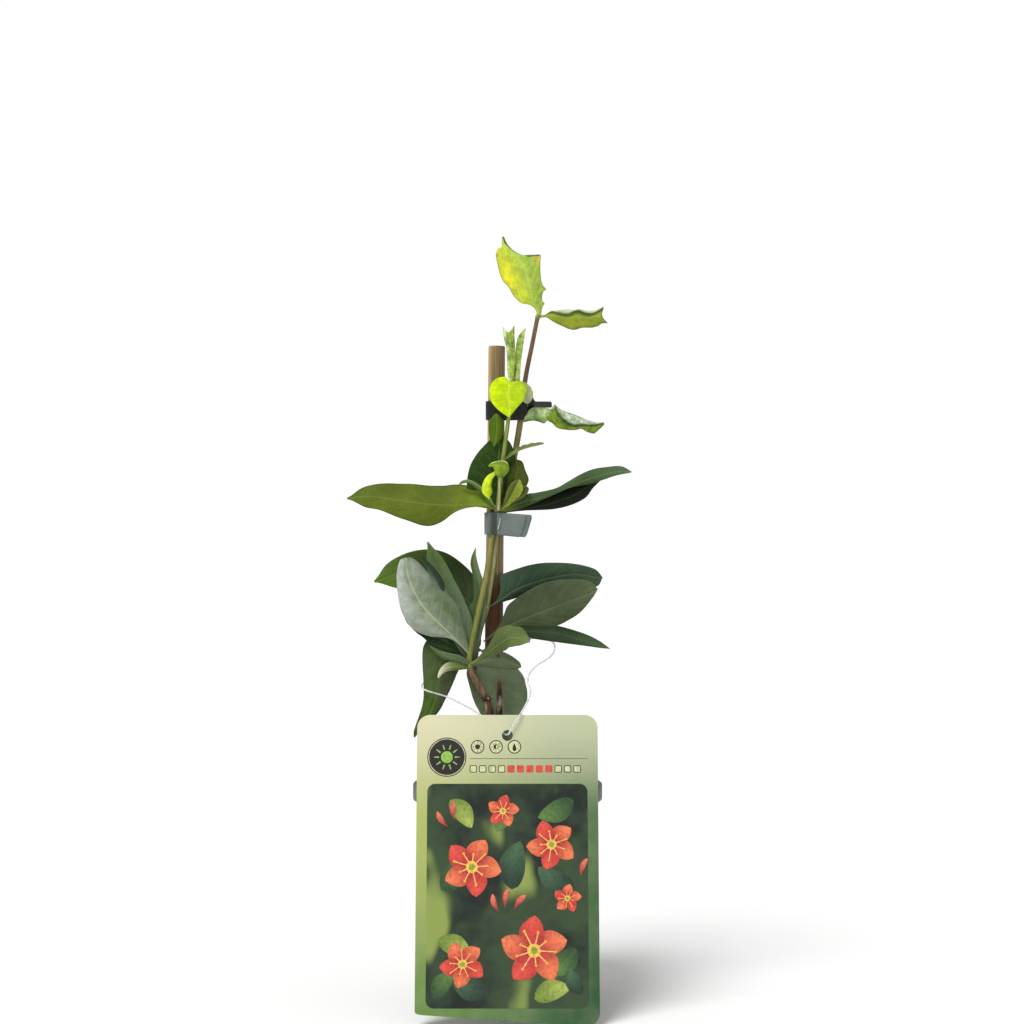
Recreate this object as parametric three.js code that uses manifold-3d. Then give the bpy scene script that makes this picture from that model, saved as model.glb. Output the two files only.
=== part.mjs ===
// A young climbing honeysuckle in its nursery pot, tied to a bamboo cane, with a hanging label that leans
// on the pot. Millimetres, +Z up. The origin is the middle of the pot's underside, and -Y is the front.
import * as THREE from "three";
import { mergeVertices } from "three/addons/utils/BufferGeometryUtils.js";
import Module from "manifold-3d";

const wasm = await Module();
wasm.setup();

// ---------------------------------------------------------------- driving dimensions

const GAP = 0.35; // clear space between two solids that touch on the real plant

const POT = {
  height: 100,
  rimRadius: 45,
  rimDrop: 7.5, // height of the skirt that hangs from the rim
  lip: 2.6, // how far the rim stands out from the wall
  wall: 0.9,
  baseRadius: 32.5,
  footWidth: 4, // of the ring that it stands on, round a hollow underside
  footHeight: 1.6,
  bossRadius: 9,
  drainRadius: 3,
  drainCircle: 19,
  drains: 6,
  worn: 0.5, // how far its edges are rounded
  sides: 40,
};
const SOIL = {
  top: 89,
  bump: 1.1, // height of its crumbs
  edge: 3, // how far its lower and upper rims are drawn in
  rings: 5,
  sides: 30,
  caneHole: 5.6, // radii of the clear holes round the cane and the woody base
  baseHole: 3,
};
const CANE = {
  foot: [-8, 4, 12],
  top: [-5.2, 4, 308],
  footRadius: 4.6,
  topRadius: 4.05,
  nodes: [66, 197.5], // heights of its swollen rings
  // the shape of a ring: height over its middle and what it adds to the radius
  ring: [[-3.2, 0], [-1.4, -0.15], [-0.4, 0.45], [0.5, 0.45], [1.8, 0.1], [4, 0]],
  worn: 0.5, // how far its ends are worn round
  boreRadius: 1.5,
  boreDepth: 30,
  sides: 14,
};
const LABEL = {
  width: 82.5,
  length: 138.7,
  thickness: 0.6,
  corner: 6,
  leanDeg: 12,
  holeRadius: 2.5,
  holeFromTop: 9.4,
};
const TAPE = { thickness: 0.5, plyOverlap: 0.03, flagSteps: 12 };
const STAPLE = {
  crown: 5.5,
  wire: 0.5,
  legs: 2.7,
  bend: 2.2, // length of a leg's bent end
};
const THREAD = { radius: 0.4, knot: 1.1, knotAt: [-3, -37, 128], sides: 8, steps: 68 };
const BLADE = {
  thickness: 0.6,
  stalkHalf: 0.75, // least half widths at the stalk and at the tip
  tipHalf: 0.3,
  ripples: 2.5, // waves of a margin along a leaf
  flatUnder: 5, // a half narrower than this curls less
  rows: 10,
  columns: 4,
};

const COLOURS = {
  pot: { color: 0x4b4b49, roughness: 0.55 },
  soil: { color: 0x2e2019, roughness: 1 },
  cane: { color: 0xa88c66, roughness: 0.6 },
  bark: { color: 0x6b4d38, roughness: 0.85 },
  leafDark: { color: 0x3f5f35, roughness: 0.5 },
  leafMiddle: { color: 0x57783a, roughness: 0.5 },
  leafYoung: { color: 0x9ac22b, roughness: 0.5 },
  tape: { color: 0x5c6a6d, roughness: 0.45 },
  staple: { color: 0xb9bcc0, roughness: 0.3, metalness: 1 },
  label: { color: 0xb7c987, roughness: 0.4 },
  thread: { color: 0xe6ebea, roughness: 0.25 },
};

// ---------------------------------------------------------------- solids

// A closed three.js geometry as a manifold solid that faces out.
function solidOf(geometry) {
  const bare = geometry.index ? geometry.toNonIndexed() : geometry.clone();
  bare.deleteAttribute("normal");
  bare.deleteAttribute("uv");
  const merged = mergeVertices(bare, 1e-4);
  const triVerts = new Uint32Array(merged.index.array);
  const vertProperties = new Float32Array(merged.attributes.position.array);
  const made = new wasm.Manifold(new wasm.Mesh({ numProp: 3, vertProperties, triVerts }));
  if (made.volume() > 0) return made;
  const turned = triVerts.slice();
  for (let i = 0; i < turned.length; i += 3) [turned[i + 1], turned[i + 2]] = [turned[i + 2], turned[i + 1]];
  return new wasm.Manifold(new wasm.Mesh({ numProp: 3, vertProperties, triVerts: turned }));
}

// A manifold solid as a named three.js mesh.
function nodeOf(name, solid, look) {
  const mesh = solid.getMesh();
  const positions = new Float32Array(mesh.numVert * 3);
  for (let i = 0; i < mesh.numVert; i++) {
    positions.set(mesh.vertProperties.subarray(i * mesh.numProp, i * mesh.numProp + 3), i * 3);
  }
  const geometry = new THREE.BufferGeometry();
  geometry.setAttribute("position", new THREE.BufferAttribute(positions, 3));
  geometry.setIndex(new THREE.BufferAttribute(new Uint32Array(mesh.triVerts), 1));
  geometry.computeVertexNormals();
  const node = new THREE.Mesh(geometry, new THREE.MeshStandardMaterial(look));
  node.name = name;
  return node;
}

// Only the largest body of a solid, so that no scrap of a join stays behind.
function mainBody(solid) {
  return solid.decompose().reduce((a, b) => (b.volume() > a.volume() ? b : a));
}

function geometryOf(positions, triangles) {
  const geometry = new THREE.BufferGeometry();
  geometry.setAttribute("position", new THREE.Float32BufferAttribute(positions, 3));
  geometry.setIndex(triangles);
  return geometry;
}

// A profile of [radius, height] pairs turned about the Z axis.
function turned(profile, sides) {
  const points = profile.map(([radius, height]) => new THREE.Vector2(radius, height));
  return new THREE.LatheGeometry(points, sides).rotateX(Math.PI / 2);
}

const vector = ([x, y, z]) => new THREE.Vector3(x, y, z);
const smoothCurve = (points) => new THREE.CatmullRomCurve3(points.map(vector), false, "catmullrom", 0.5);

// Values at equal steps along something, read smoothly at any share of it from 0 to 1.
function readStations(values, share) {
  const last = values.length - 1;
  const at = Math.min(Math.max(share, 0), 1) * last;
  const i = Math.min(Math.floor(at), last - 1);
  const f = at - i;
  const before = values[Math.max(i - 1, 0)];
  const after = values[Math.min(i + 2, last)];
  const [a, b] = [values[i], values[i + 1]];
  const bend = 2 * before - 5 * a + 4 * b - after + f * (3 * (a - b) + after - before);
  return a + 0.5 * f * (b - before + f * bend);
}

// A round stem along a smooth line, with its radius read at equal steps.
function stem(points, radii, steps, sides) {
  const line = smoothCurve(points);
  const frames = line.computeFrenetFrames(steps, false);
  const positions = [];
  const triangles = [];
  for (let i = 0; i <= steps; i++) {
    const centre = line.getPointAt(i / steps);
    const radius = readStations(radii, i / steps);
    for (let k = 0; k < sides; k++) {
      const turn = (2 * Math.PI * k) / sides;
      const out = frames.normals[i].clone().multiplyScalar(Math.cos(turn));
      out.addScaledVector(frames.binormals[i], Math.sin(turn));
      positions.push(...centre.clone().addScaledVector(out, radius).toArray());
    }
  }
  for (let i = 0; i < steps; i++) {
    for (let k = 0; k < sides; k++) {
      const [a, b] = [i * sides + k, i * sides + ((k + 1) % sides)];
      triangles.push(a, b, a + sides, b, b + sides, a + sides);
    }
  }
  const top = steps * sides;
  for (let k = 1; k < sides - 1; k++) triangles.push(0, k + 1, k, top, top + k, top + k + 1);
  return solidOf(geometryOf(positions, triangles));
}

// ---------------------------------------------------------------- leaves

// The usual outline of a leaf: its breadth from 0 at the base to 1 at the widest and 0 at the tip.
const OVAL = { rise: 0.75, fall: 0.6 };
function oval(share) {
  const widest = OVAL.rise / (OVAL.rise + OVAL.fall);
  return (share / widest) ** OVAL.rise * ((1 - share) / (1 - widest)) ** OVAL.fall;
}

function halfWidth(leaf, side, share) {
  const stalk = leaf.stalk ?? 0.06;
  const along = (share - stalk) / (1 - stalk);
  if (along <= 0) return BLADE.stalkHalf;
  const stations = side > 0 ? leaf.plus : leaf.minus;
  const blade = stations ? readStations(stations, along) : 0.5 * leaf.width * oval(along);
  const least = THREE.MathUtils.lerp(BLADE.stalkHalf, BLADE.tipHalf, along);
  return Math.max(blade, least);
}

// A leaf is one thin closed solid. midrib is the line that it grows along, from inside its stem to its
// tip. face is where its upper side looks, and faceTip where it looks at the tip. fold lifts both halves
// towards the upper side, in degrees, cup curls the margins up, and wave ripples them, in millimetres.
// plus and minus are the half widths at equal steps, on the side of tangent x face and on the other.
function blade(leaf) {
  const line = smoothCurve(leaf.midrib);
  const rows = leaf.rows ?? BLADE.rows;
  const columns = leaf.columns ?? BLADE.columns;
  const fold = THREE.MathUtils.degToRad(leaf.fold ?? 0);
  const [cup, wave] = [leaf.cup ?? 0, leaf.wave ?? 0];
  const faces = [vector(leaf.face), vector(leaf.faceTip ?? leaf.face)];
  const grid = [];
  for (let i = 0; i <= rows; i++) {
    const share = i / rows;
    const tangent = line.getTangent(share);
    const face = faces[0].clone().lerp(faces[1], share);
    face.addScaledVector(tangent, -face.dot(tangent)).normalize();
    const across = tangent.clone().cross(face);
    const row = [];
    for (let j = 0; j <= columns; j++) {
      const v = (2 * j) / columns - 1;
      const half = halfWidth(leaf, v, share);
      const ripple = wave * Math.sin(2 * Math.PI * (BLADE.ripples * share + 0.37 * Math.sign(v)));
      const flare = v * v * Math.min(1, half / BLADE.flatUnder);
      const lift = Math.abs(v) * half * Math.sin(fold) + (cup + ripple) * flare;
      const point = line.getPoint(share).addScaledVector(across, v * half * Math.cos(fold));
      row.push(point.addScaledVector(face, lift));
    }
    grid.push(row);
  }
  const positions = [];
  for (const side of [1, -1]) {
    for (let i = 0; i <= rows; i++) {
      for (let j = 0; j <= columns; j++) {
        const along = grid[Math.min(i + 1, rows)][j].clone().sub(grid[Math.max(i - 1, 0)][j]);
        const over = grid[i][Math.min(j + 1, columns)].clone().sub(grid[i][Math.max(j - 1, 0)]);
        const up = over.cross(along).normalize();
        positions.push(...grid[i][j].clone().addScaledVector(up, (side * BLADE.thickness) / 2).toArray());
      }
    }
  }
  return solidOf(geometryOf(positions, slabTriangles(rows, columns)));
}

// The faces of a thin slab whose upper and lower grids of points follow each other, split alike.
function slabTriangles(rows, columns) {
  const under = (rows + 1) * (columns + 1);
  const at = (i, j) => i * (columns + 1) + j;
  const triangles = [];
  for (let i = 0; i < rows; i++) {
    for (let j = 0; j < columns; j++) {
      const [a, b, c, d] = [at(i, j), at(i, j + 1), at(i + 1, j), at(i + 1, j + 1)];
      triangles.push(a, b, c, b, d, c);
      triangles.push(a + under, c + under, b + under, b + under, c + under, d + under);
    }
    const [low, lowNext] = [at(i, 0), at(i + 1, 0)];
    const [high, highNext] = [at(i, columns), at(i + 1, columns)];
    triangles.push(low, lowNext, low + under, lowNext, lowNext + under, low + under);
    triangles.push(high, high + under, highNext, highNext, high + under, highNext + under);
  }
  for (let j = 0; j < columns; j++) {
    const [near, nearNext] = [at(0, j), at(0, j + 1)];
    const [far, farNext] = [at(rows, j), at(rows, j + 1)];
    triangles.push(near, near + under, nearNext, nearNext, near + under, nearNext + under);
    triangles.push(far, farNext, far + under, farNext, farNext + under, far + under);
  }
  return triangles;
}

// ---------------------------------------------------------------- the vine

// Each stem: the points of its centre line and its radius at equal steps.
const STEMS = {
  woodyBase: {
    points: [[-4.5, -10, 62], [-5, -10, 86], [-6, -9.8, 112], [-8.2, -9.4, 132], [-9.9, -9, 140.5],
      [-13.5, -8.5, 146.7], [-15.5, -8.2, 150], [-17, -8, 153.2], [-17.4, -8, 154.6]],
    radii: [2.1, 2.4, 2.3, 2.1, 2.0, 1.75, 1.7],
    steps: 16,
  },
  deadStub: {
    points: [[-6, -9.8, 108], [-4.4, -9.9, 120], [-3.8, -10, 134], [-4, -10, 149.6]],
    radii: [1.6, 1.5, 1.35, 1.1],
    steps: 7,
  },
  frontStem: {
    points: [[-18.2, -8, 155.4], [-17.9, -7.9, 162], [-15.2, -7.6, 175], [-13.5, -7.2, 183],
      [-9.6, -5.6, 201], [-7.5, -4.6, 218], [-4.7, -6.2, 230.6], [-2.2, -9.3, 253], [0.7, -10.4, 274.5],
      [2.6, -10.5, 292]],
    radii: [1.55, 1.4, 1.4, 1.35, 1.25, 1.05, 0.95],
    steps: 26,
  },
  rearStem: {
    points: [[-15.6, -5.4, 154.8], [-15, -4.6, 160], [-14, -4, 168], [-11.7, -3.4, 177],
      [-9.8, -3.2, 183.7], [-7.7, -2.9, 197.5], [-5, -2.8, 218], [-1.6, -2.4, 232], [0.8, -1.2, 243],
      [3.8, -0.6, 258], [5.9, 0, 271], [8.3, 0.5, 291], [11.2, 1, 306], [14.4, 1.5, 322]],
    radii: [1.25, 1.15, 1.15, 1.1, 1.1, 1.2, 1.45, 1.2, 1.05, 1.0],
    steps: 32,
  },
  centreShoot: {
    points: [[-4.2, -9.6, 229.4], [-4.1, -9.8, 233], [-3.9, -10.6, 240], [-3.6, -11.6, 247.6]],
    radii: [0.95, 0.9, 0.85, 1.0],
    steps: 6,
  },
};

// The old leaves round the foot of the front stem, the long pair over the lower tape, and the young top.
const FRONT_LEAVES = [
  // broad pale leaf in front on the left, with its underside to the front
  { midrib: [[-18.2, -8.6, 157.2], [-20.5, -11.5, 165], [-32, -18, 175.5], [-39, -22, 183.4],
      [-46, -25, 198.5], [-49, -26, 206.5]],
    face: [0.3, 0.9, 0.3], cup: -0.8, wave: 0.4, stalk: 0.1,
    plus: [1, 2.6, 4.4, 5.8, 7.4, 8.6, 8.6, 6.6, 0.8],
    minus: [1, 4.6, 8.4, 11, 11.8, 11.6, 10.2, 6.8, 0.8] },
  // upright leaf behind it
  { midrib: [[-18.2, -7.6, 157], [-19.4, -7.9, 166], [-24.4, -9, 181], [-31.3, -11, 198],
      [-37.5, -12.5, 214.6]],
    face: [0.2, -0.95, 0.2], fold: 8, wave: 0.3, stalk: 0.04,
    plus: [1, 4, 5.6, 6.2, 6, 5.2, 4, 0.4],
    minus: [1, 3.6, 5.6, 6.2, 6.2, 5.6, 4.4, 0.4] },
  // dark leaf under it
  { midrib: [[-18.3, -8, 157.4], [-26, -9.4, 165], [-37, -10.5, 171], [-45, -11, 179], [-50, -11.5, 189]],
    face: [0.15, -0.75, 0.64], width: 16, fold: 8, wave: 0.6 },
  // leaf seen from its edge, grey underneath
  { midrib: [[-18.6, -8.6, 156.6], [-26, -12.5, 159.4], [-36.5, -15.5, 164.5]],
    face: [0.2, 0.45, 0.87], width: 10, fold: 6, wave: 0.4 },
  // small leaf with a pale tip
  { midrib: [[-18.8, -9, 156.2], [-26.5, -13, 157], [-30.5, -14.8, 154.4], [-33, -15.6, 150.3]],
    face: [-0.2, -0.6, 0.8], width: 5.6, fold: 12, rows: 6, columns: 2 },
  // long leaf that hangs down behind the label's corner
  { midrib: [[-18.2, -7.8, 156], [-27, -10, 162.6], [-33, -11.4, 160.6], [-35, -12.8, 151],
      [-37.8, -15.8, 138], [-43.4, -20, 123.5]],
    face: [-0.1, -0.75, 0.7], faceTip: [0.1, -1, -0.2], cup: 0.6, wave: 0.5, rows: 12,
    plus: [0.8, 3.4, 6.3, 6.4, 4.2, 3.2, 3.4, 2.6, 0.4],
    minus: [0.8, 3.4, 6, 9, 10.4, 9.6, 7.4, 4.4, 0.4] },
  // green leaf in front on the right
  { midrib: [[-17.4, -9, 157], [-9.6, -14, 162.2], [-3.5, -18, 167.2], [2.6, -21, 170.2],
      [10.5, -22.5, 168.8]],
    face: [-0.2, -0.75, 0.62], cup: -0.6, wave: 0.4,
    plus: [0.8, 1.6, 3, 4.4, 5, 4.8, 3.8, 1],
    minus: [0.8, 2.5, 5.5, 8, 8.6, 7.6, 5.4, 1] },
  // short grey leaf on the right
  { midrib: [[-17.2, -7.6, 156.6], [-9, -7.6, 158.2], [-1, -8.4, 159.6], [6, -9.6, 157]],
    face: [0, 0.6, 0.8], wave: 0.3,
    plus: [0.8, 5, 7.2, 8, 7, 4, 0.6],
    minus: [0.8, 1.4, 1.8, 2, 1.8, 1.4, 0.5] },
  // long leaf to the left, over the lower tape
  { midrib: [[-4.9, -6.3, 230.3], [-11.7, -8, 232.2], [-26.4, -9.6, 232], [-36, -10.4, 232.4],
      [-50.6, -11, 234.2], [-65, -11, 236.2], [-75.6, -11, 235.2]],
    face: [0, -0.98, 0.2], faceTip: [0, -0.84, 0.54], fold: -16, wave: 0.5, stalk: 0.04, rows: 12,
    plus: [1.2, 8.4, 11.4, 11, 11.3, 10.9, 8.9, 6, 0.4],
    minus: [1, 1, 2.2, 7.6, 10.4, 8.8, 6.2, 4.8, 0.4] },
  // long leaf to the right, over the lower tape
  { midrib: [[-4.4, -6.3, 230.5], [3.6, -6.4, 231.1], [13.1, -5.5, 233], [25, -4, 238.2], [36.9, -2.5, 243],
      [48.8, -1, 246.8], [58.3, 0, 249]],
    face: [-0.25, -0.52, 0.82], wave: 0.4, stalk: 0.04, rows: 12,
    plus: [1, 3.5, 7, 10, 12, 10, 6.4, 3.6, 0.4],
    minus: [1, 8.5, 11.6, 11, 10, 10, 9.8, 7.2, 0.4] },
  // broad dark leaf that stands behind the young shoots
  { midrib: [[-4.6, -5.6, 230.6], [-4.6, -4.3, 238], [-4.4, -4.1, 252], [-3.6, -4.1, 266.8]],
    face: [0, -1, 0.03], wave: 0.25, stalk: 0.05,
    plus: [1.5, 9.5, 11, 10.6, 10, 9, 7.6, 5.4, 0.4],
    minus: [1.5, 13.2, 14.8, 14.8, 14.4, 13, 10, 5.6, 0.4] },
  // small oval leaf on a long stalk
  { midrib: [[-5, -6.2, 230.4], [-6.4, -5.6, 245], [-6, -5.6, 260], [-4.9, -6, 273.8]],
    face: [0, -1, 0], fold: 8, stalk: 0.6, rows: 12, columns: 2,
    plus: [0.8, 2.8, 4.4, 4.9, 4.6, 3.8, 0.8],
    minus: [0.8, 2.8, 4.3, 4.7, 4.6, 3.9, 0.8] },
  // grey leaf on the right of the young shoots, with its underside to the front
  { midrib: [[-4.3, -6.4, 230.8], [-2.2, -6, 238], [1, -6.2, 244], [5.2, -6.6, 246], [9.9, -7.4, 243.4]],
    face: [0.1, 0.95, 0.3], wave: 0.15,
    plus: [0.8, 3, 5, 6.4, 7.2, 6.8, 4.4, 0.4],
    minus: [0.8, 2.6, 4, 4.6, 4.6, 4, 2.6, 0.4] },
  // its olive neighbour
  { midrib: [[-4.1, -6.6, 230.6], [3.4, -8.1, 236.6], [9.9, -8.6, 240]],
    face: [-0.2, -0.9, 0.4], width: 8, fold: 12, rows: 7 },
  // small folded leaf in front of them
  { midrib: [[-4.2, -6.9, 230.4], [-1.2, -9.3, 231.2], [2.2, -11, 236.6], [5.4, -11.4, 243.8]],
    face: [-0.5, -0.8, 0.3], width: 8.4, fold: 26, stalk: 0.2 },
  // narrow leaf seen from its edge
  { midrib: [[-2.2, -9.4, 253], [6, -10.6, 258.2], [17, -11.4, 261.2]],
    face: [0, -0.1, 1], width: 6, fold: 22, rows: 7, columns: 2 },
  // bright heart-shaped leaf that hangs from the top node
  { midrib: [[2.6, -10.8, 292], [2.4, -12.6, 288.4], [1.7, -14, 281.5], [0.9, -14.4, 273.3]],
    face: [0, -0.97, 0.25], cup: -0.6, stalk: 0.02,
    plus: [7.5, 10.4, 10.8, 10.7, 10.1, 8.8, 6.4, 3.5, 0.4],
    minus: [3.5, 6.8, 7.6, 7.3, 6.9, 5.7, 4.2, 2.3, 0.4] },
  // its small partner
  { midrib: [[2.8, -10.4, 291.4], [8, -9, 288], [11.8, -8, 282]],
    face: [0.5, -0.8, 0.35], width: 9, fold: 10, rows: 7 },
  // upright unfolding pair at the very top
  { midrib: [[2.4, -10.5, 291.6], [1.4, -10.9, 302], [0.5, -11.6, 314.4]],
    face: [0.35, 0.75, 0.6], fold: 36, cup: 1, stalk: 0.02, rows: 8,
    plus: [1, 2.4, 2.6, 2.6, 3, 3.3, 3.5, 3.4, 2.6],
    minus: [1, 2.4, 2.6, 2.6, 3, 3.3, 3.5, 3.2, 2.2] },
  { midrib: [[2.9, -10.3, 291.6], [5.4, -10.2, 303], [8.8, -10.2, 316.4]],
    face: [-0.55, 0.75, 0.3], width: 6, fold: 38, stalk: 0.02, rows: 8 },
  // leaf behind the left one of the long pair, out to the back
  { midrib: [[-5.6, -5.8, 230.4], [-11.8, -3, 231], [-18, 5, 233], [-25, 17, 235], [-31, 28, 233]],
    face: [-0.1, 0, 1], width: 15, fold: 10, wave: 0.6, stalk: 0.26 },
];

// The low leaves on the rear stem, the twisted one at the upper tape and the curled pair at the tip.
const REAR_LEAVES = [
  // dark leaf to the left, behind the others
  { midrib: [[-9.8, -3.2, 183.7], [-16, -0.8, 184], [-23, 2, 190], [-36, 5, 199.5], [-51, 6.5, 199.5],
      [-64, 6, 195.4]],
    face: [-0.1, -0.9, 0.42], wave: 0.5, stalk: 0.03,
    plus: [0.8, 0.9, 5, 10.5, 12, 11.8, 9.6, 6.4, 0.4],
    minus: [0.8, 1.2, 8, 12, 12.6, 11, 9, 6.4, 0.4] },
  // narrow upright leaf beside the stems
  { midrib: [[-15.2, -4.8, 159], [-14.8, -5.1, 168], [-13.6, -4.9, 180], [-13.6, -4.1, 192],
      [-15.2, -3.2, 211.6]],
    face: [0.1, -1, 0], rows: 8, columns: 2,
    plus: [0.8, 1.8, 2.6, 3.2, 2.8, 1.6, 1, 0.4],
    minus: [0.8, 2.6, 2.4, 2, 2.4, 3, 2.4, 0.4] },
  // dark leaf to the right
  { midrib: [[-9.8, -3.2, 183.9], [-2.6, -2.6, 188.2], [8, -1, 193.4], [20, 2, 197.2], [34, 5, 198.4],
      [45.4, 7, 196]],
    face: [-0.15, -0.93, 0.3], faceTip: [-0.15, -0.55, 0.82], wave: 0.4, stalk: 0.12,
    plus: [0.8, 5, 9, 11, 11.4, 10.8, 9.6, 8.2, 5.2, 0.8],
    minus: [0.8, 3, 9, 11, 11.2, 10.8, 9.8, 8.2, 5.4, 0.8] },
  // grey-green leaf to the right, with its underside to the front
  { midrib: [[-14, -4, 168], [-6, -6, 172.4], [-2.1, -7.2, 175.2], [8, -8.3, 180.6], [21.4, -9, 185.4],
      [33, -9, 189.5], [44.6, -9, 195.8]],
    face: [0.1, 0.97, -0.1], cup: -0.5, wave: 0.35, rows: 12,
    plus: [0.8, 0.9, 0.9, 3.4, 6.8, 8.4, 8.6, 8.2, 6, 0.8],
    minus: [0.8, 0.9, 1, 4, 9, 10.4, 10.4, 9.6, 6.2, 0.8] },
  // narrow dark leaf to the right
  { midrib: [[-14.9, -4.5, 161.5], [-3, -3.4, 168.3], [9, -3.2, 172.3], [23, -3, 171.5], [37, -2, 168],
      [48.8, 0, 163.6]],
    face: [0.1, -0.42, 0.9], width: 15, fold: 8, wave: 0.5 },
  // big leaf that hangs behind the woody base
  { midrib: [[-15.3, -4.9, 158], [-9, -3.6, 155.5], [-5, -3.4, 146], [-3.2, -3.6, 130], [-2.2, -4, 108]],
    face: [0.1, -1, 0.1], wave: 0.3,
    plus: [1.5, 9, 12.5, 13.2, 12.8, 11.4, 9, 5, 0.5],
    minus: [1.5, 9, 12.5, 13.2, 12.8, 11.4, 9, 5, 0.5] },
  // leaf out to the back, low on the left
  { midrib: [[-14.7, -4.4, 163], [-20, 5, 167.5], [-30, 20, 173], [-38, 34, 171]],
    face: [0, -0.25, 0.97], width: 19, fold: 8, wave: 0.6 },
  // leaf out to the back on the right, over the lower tape
  { midrib: [[-1.6, -2.4, 232], [-0.6, 3, 233.2], [1.5, 9, 235], [8, 20, 236], [15, 31, 234]],
    face: [0, 0.05, 1], width: 14, fold: 8, wave: 0.5, stalk: 0.36 },
  // leaf at the upper tape, folded like a trough
  { midrib: [[5.9, 0, 269.8], [9.4, -4.6, 271.8], [15.5, -7, 274.4], [21.6, -8, 274.4], [28, -7.4, 272],
      [34, -6.6, 271.2], [40.4, -6, 269.6], [45.8, -5.4, 270.2]],
    face: [0, -0.9, 0.42], fold: 16, wave: 0.4, stalk: 0.1, rows: 12,
    plus: [0.8, 2.6, 3.6, 4, 5.2, 5, 4, 4, 3.8, 0.8],
    minus: [0.8, 2.4, 3.6, 4.4, 6, 4.6, 4, 3.6, 3, 0.6] },
  // upper left leaf of the curled pair at the tip, cut off square with a thin curled point
  { midrib: [[14.4, 1.5, 321.5], [10.4, -0.4, 336.2], [4, -0.2, 348.5], [-2.6, 3, 359.4]],
    face: [0.15, -0.97, 0.2], cup: -1.2, wave: 0.4, stalk: 0.03, rows: 13,
    plus: [0.8, 3.5, 5.2, 6.8, 8.9, 11.2, 5.6, 1.1, 0.4],
    minus: [0.8, 7.4, 10, 11.2, 11.2, 9.8, 8, 4.6, 0.4] },
  // right leaf of the curled pair
  { midrib: [[14.4, 1.5, 321.5], [19.8, 0.4, 322.3], [27.9, -0.6, 321.3], [36, -0.6, 320.6],
      [47.9, 0, 318.7]],
    face: [0, -0.78, 0.62], cup: 1.2, wave: 0.5, stalk: 0.04, rows: 12,
    plus: [0.8, 1.8, 4.9, 6.8, 7.8, 7.3, 5.8, 3.6, 0.5],
    minus: [0.8, 0.9, 2.2, 3.8, 3.6, 3.8, 5.4, 7.6, 0.8] },
];

const SHOOT_LEAVES = [
  // bright leaf that arches down on the left
  { midrib: [[-3.7, -11.5, 247.3], [-8.2, -12.6, 245.2], [-10.6, -13.2, 239.6], [-9.2, -13.4, 233.6]],
    face: [-0.45, -0.85, 0.2], width: 6.4, fold: 12, rows: 8 },
  // hooded leaf over the top
  { midrib: [[-3.5, -11.7, 247.3], [-1.9, -12.8, 250.8], [-4.6, -14.4, 252.6], [-9.6, -15.6, 250.2]],
    face: [0.1, -0.35, 0.93], width: 7, fold: -24, rows: 8 },
];

// Swellings where leaves or old shoots grow: [place, radius, half height].
const SWELLINGS = {
  front: [[[-4.7, -6.2, 230.7], 1.8, 1.5], [[2.6, -10.5, 291.6], 1.5, 1.3], [[-18, -8, 157], 1.8, 1.4]],
  rear: [[[-9.8, -3.2, 183.8], 1.6, 1.5], [[14.4, 1.5, 321.6], 1.3, 1.3]],
  woody: [[[-10, -9, 140.6], 2.6, 1.8], [[-6.6, -9.8, 119], 2.7, 1.8]],
};

function leafyStem(route, leaves, swellings = []) {
  const core = stem(route.points, route.radii, route.steps, 8);
  return mainBody(wasm.Manifold.union([core, ...swellings.map(swelling), ...leaves.map(blade)]));
}

function swelling([[x, y, z], radius, height]) {
  return solidOf(new THREE.SphereGeometry(radius, 8, 6).scale(1, 1, height / radius).translate(x, y, z));
}

function woodyBase() {
  const main = stem(STEMS.woodyBase.points, STEMS.woodyBase.radii, STEMS.woodyBase.steps, 8);
  const stub = stem(STEMS.deadStub.points, STEMS.deadStub.radii, STEMS.deadStub.steps, 7);
  return mainBody(wasm.Manifold.union([main, stub, ...SWELLINGS.woody.map(swelling)]));
}

// ---------------------------------------------------------------- cane

const caneAt = (height) => {
  const share = (height - CANE.foot[2]) / (CANE.top[2] - CANE.foot[2]);
  return {
    x: THREE.MathUtils.lerp(CANE.foot[0], CANE.top[0], share),
    y: THREE.MathUtils.lerp(CANE.foot[1], CANE.top[1], share),
    radius: THREE.MathUtils.lerp(CANE.footRadius, CANE.topRadius, share),
  };
};

// The cane's profile, standing on its own foot, leaned to its place.
function leanedOnCane(geometry) {
  const way = vector(CANE.top).sub(vector(CANE.foot)).normalize();
  const leaned = new THREE.Quaternion().setFromUnitVectors(new THREE.Vector3(0, 0, 1), way);
  return geometry.applyQuaternion(leaned).translate(...CANE.foot);
}

function bambooCane() {
  const length = vector(CANE.top).distanceTo(vector(CANE.foot));
  const radiusAt = (height) => caneAt(height + CANE.foot[2]).radius;
  const boreEnd = length - CANE.boreDepth;
  const profile = [[0, 0], [radiusAt(0) - CANE.worn, 0], [radiusAt(0), CANE.worn]];
  for (const node of CANE.nodes.map((height) => height - CANE.foot[2])) {
    profile.push(...CANE.ring.map(([rise, swell]) => [radiusAt(node) + swell, node + rise]));
  }
  profile.push([radiusAt(length), length - CANE.worn], [radiusAt(length) - CANE.worn, length]);
  profile.push([CANE.boreRadius, length], [CANE.boreRadius, boreEnd], [0, boreEnd]);
  return solidOf(leanedOnCane(turned(profile, CANE.sides)));
}

// ---------------------------------------------------------------- pot and soil

const wallTop = POT.height - POT.wall;
const wallOuterTop = POT.rimRadius - POT.lip;
const outerWallAt = (height) =>
  THREE.MathUtils.mapLinear(height, 0, wallTop, POT.baseRadius, wallOuterTop);

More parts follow.
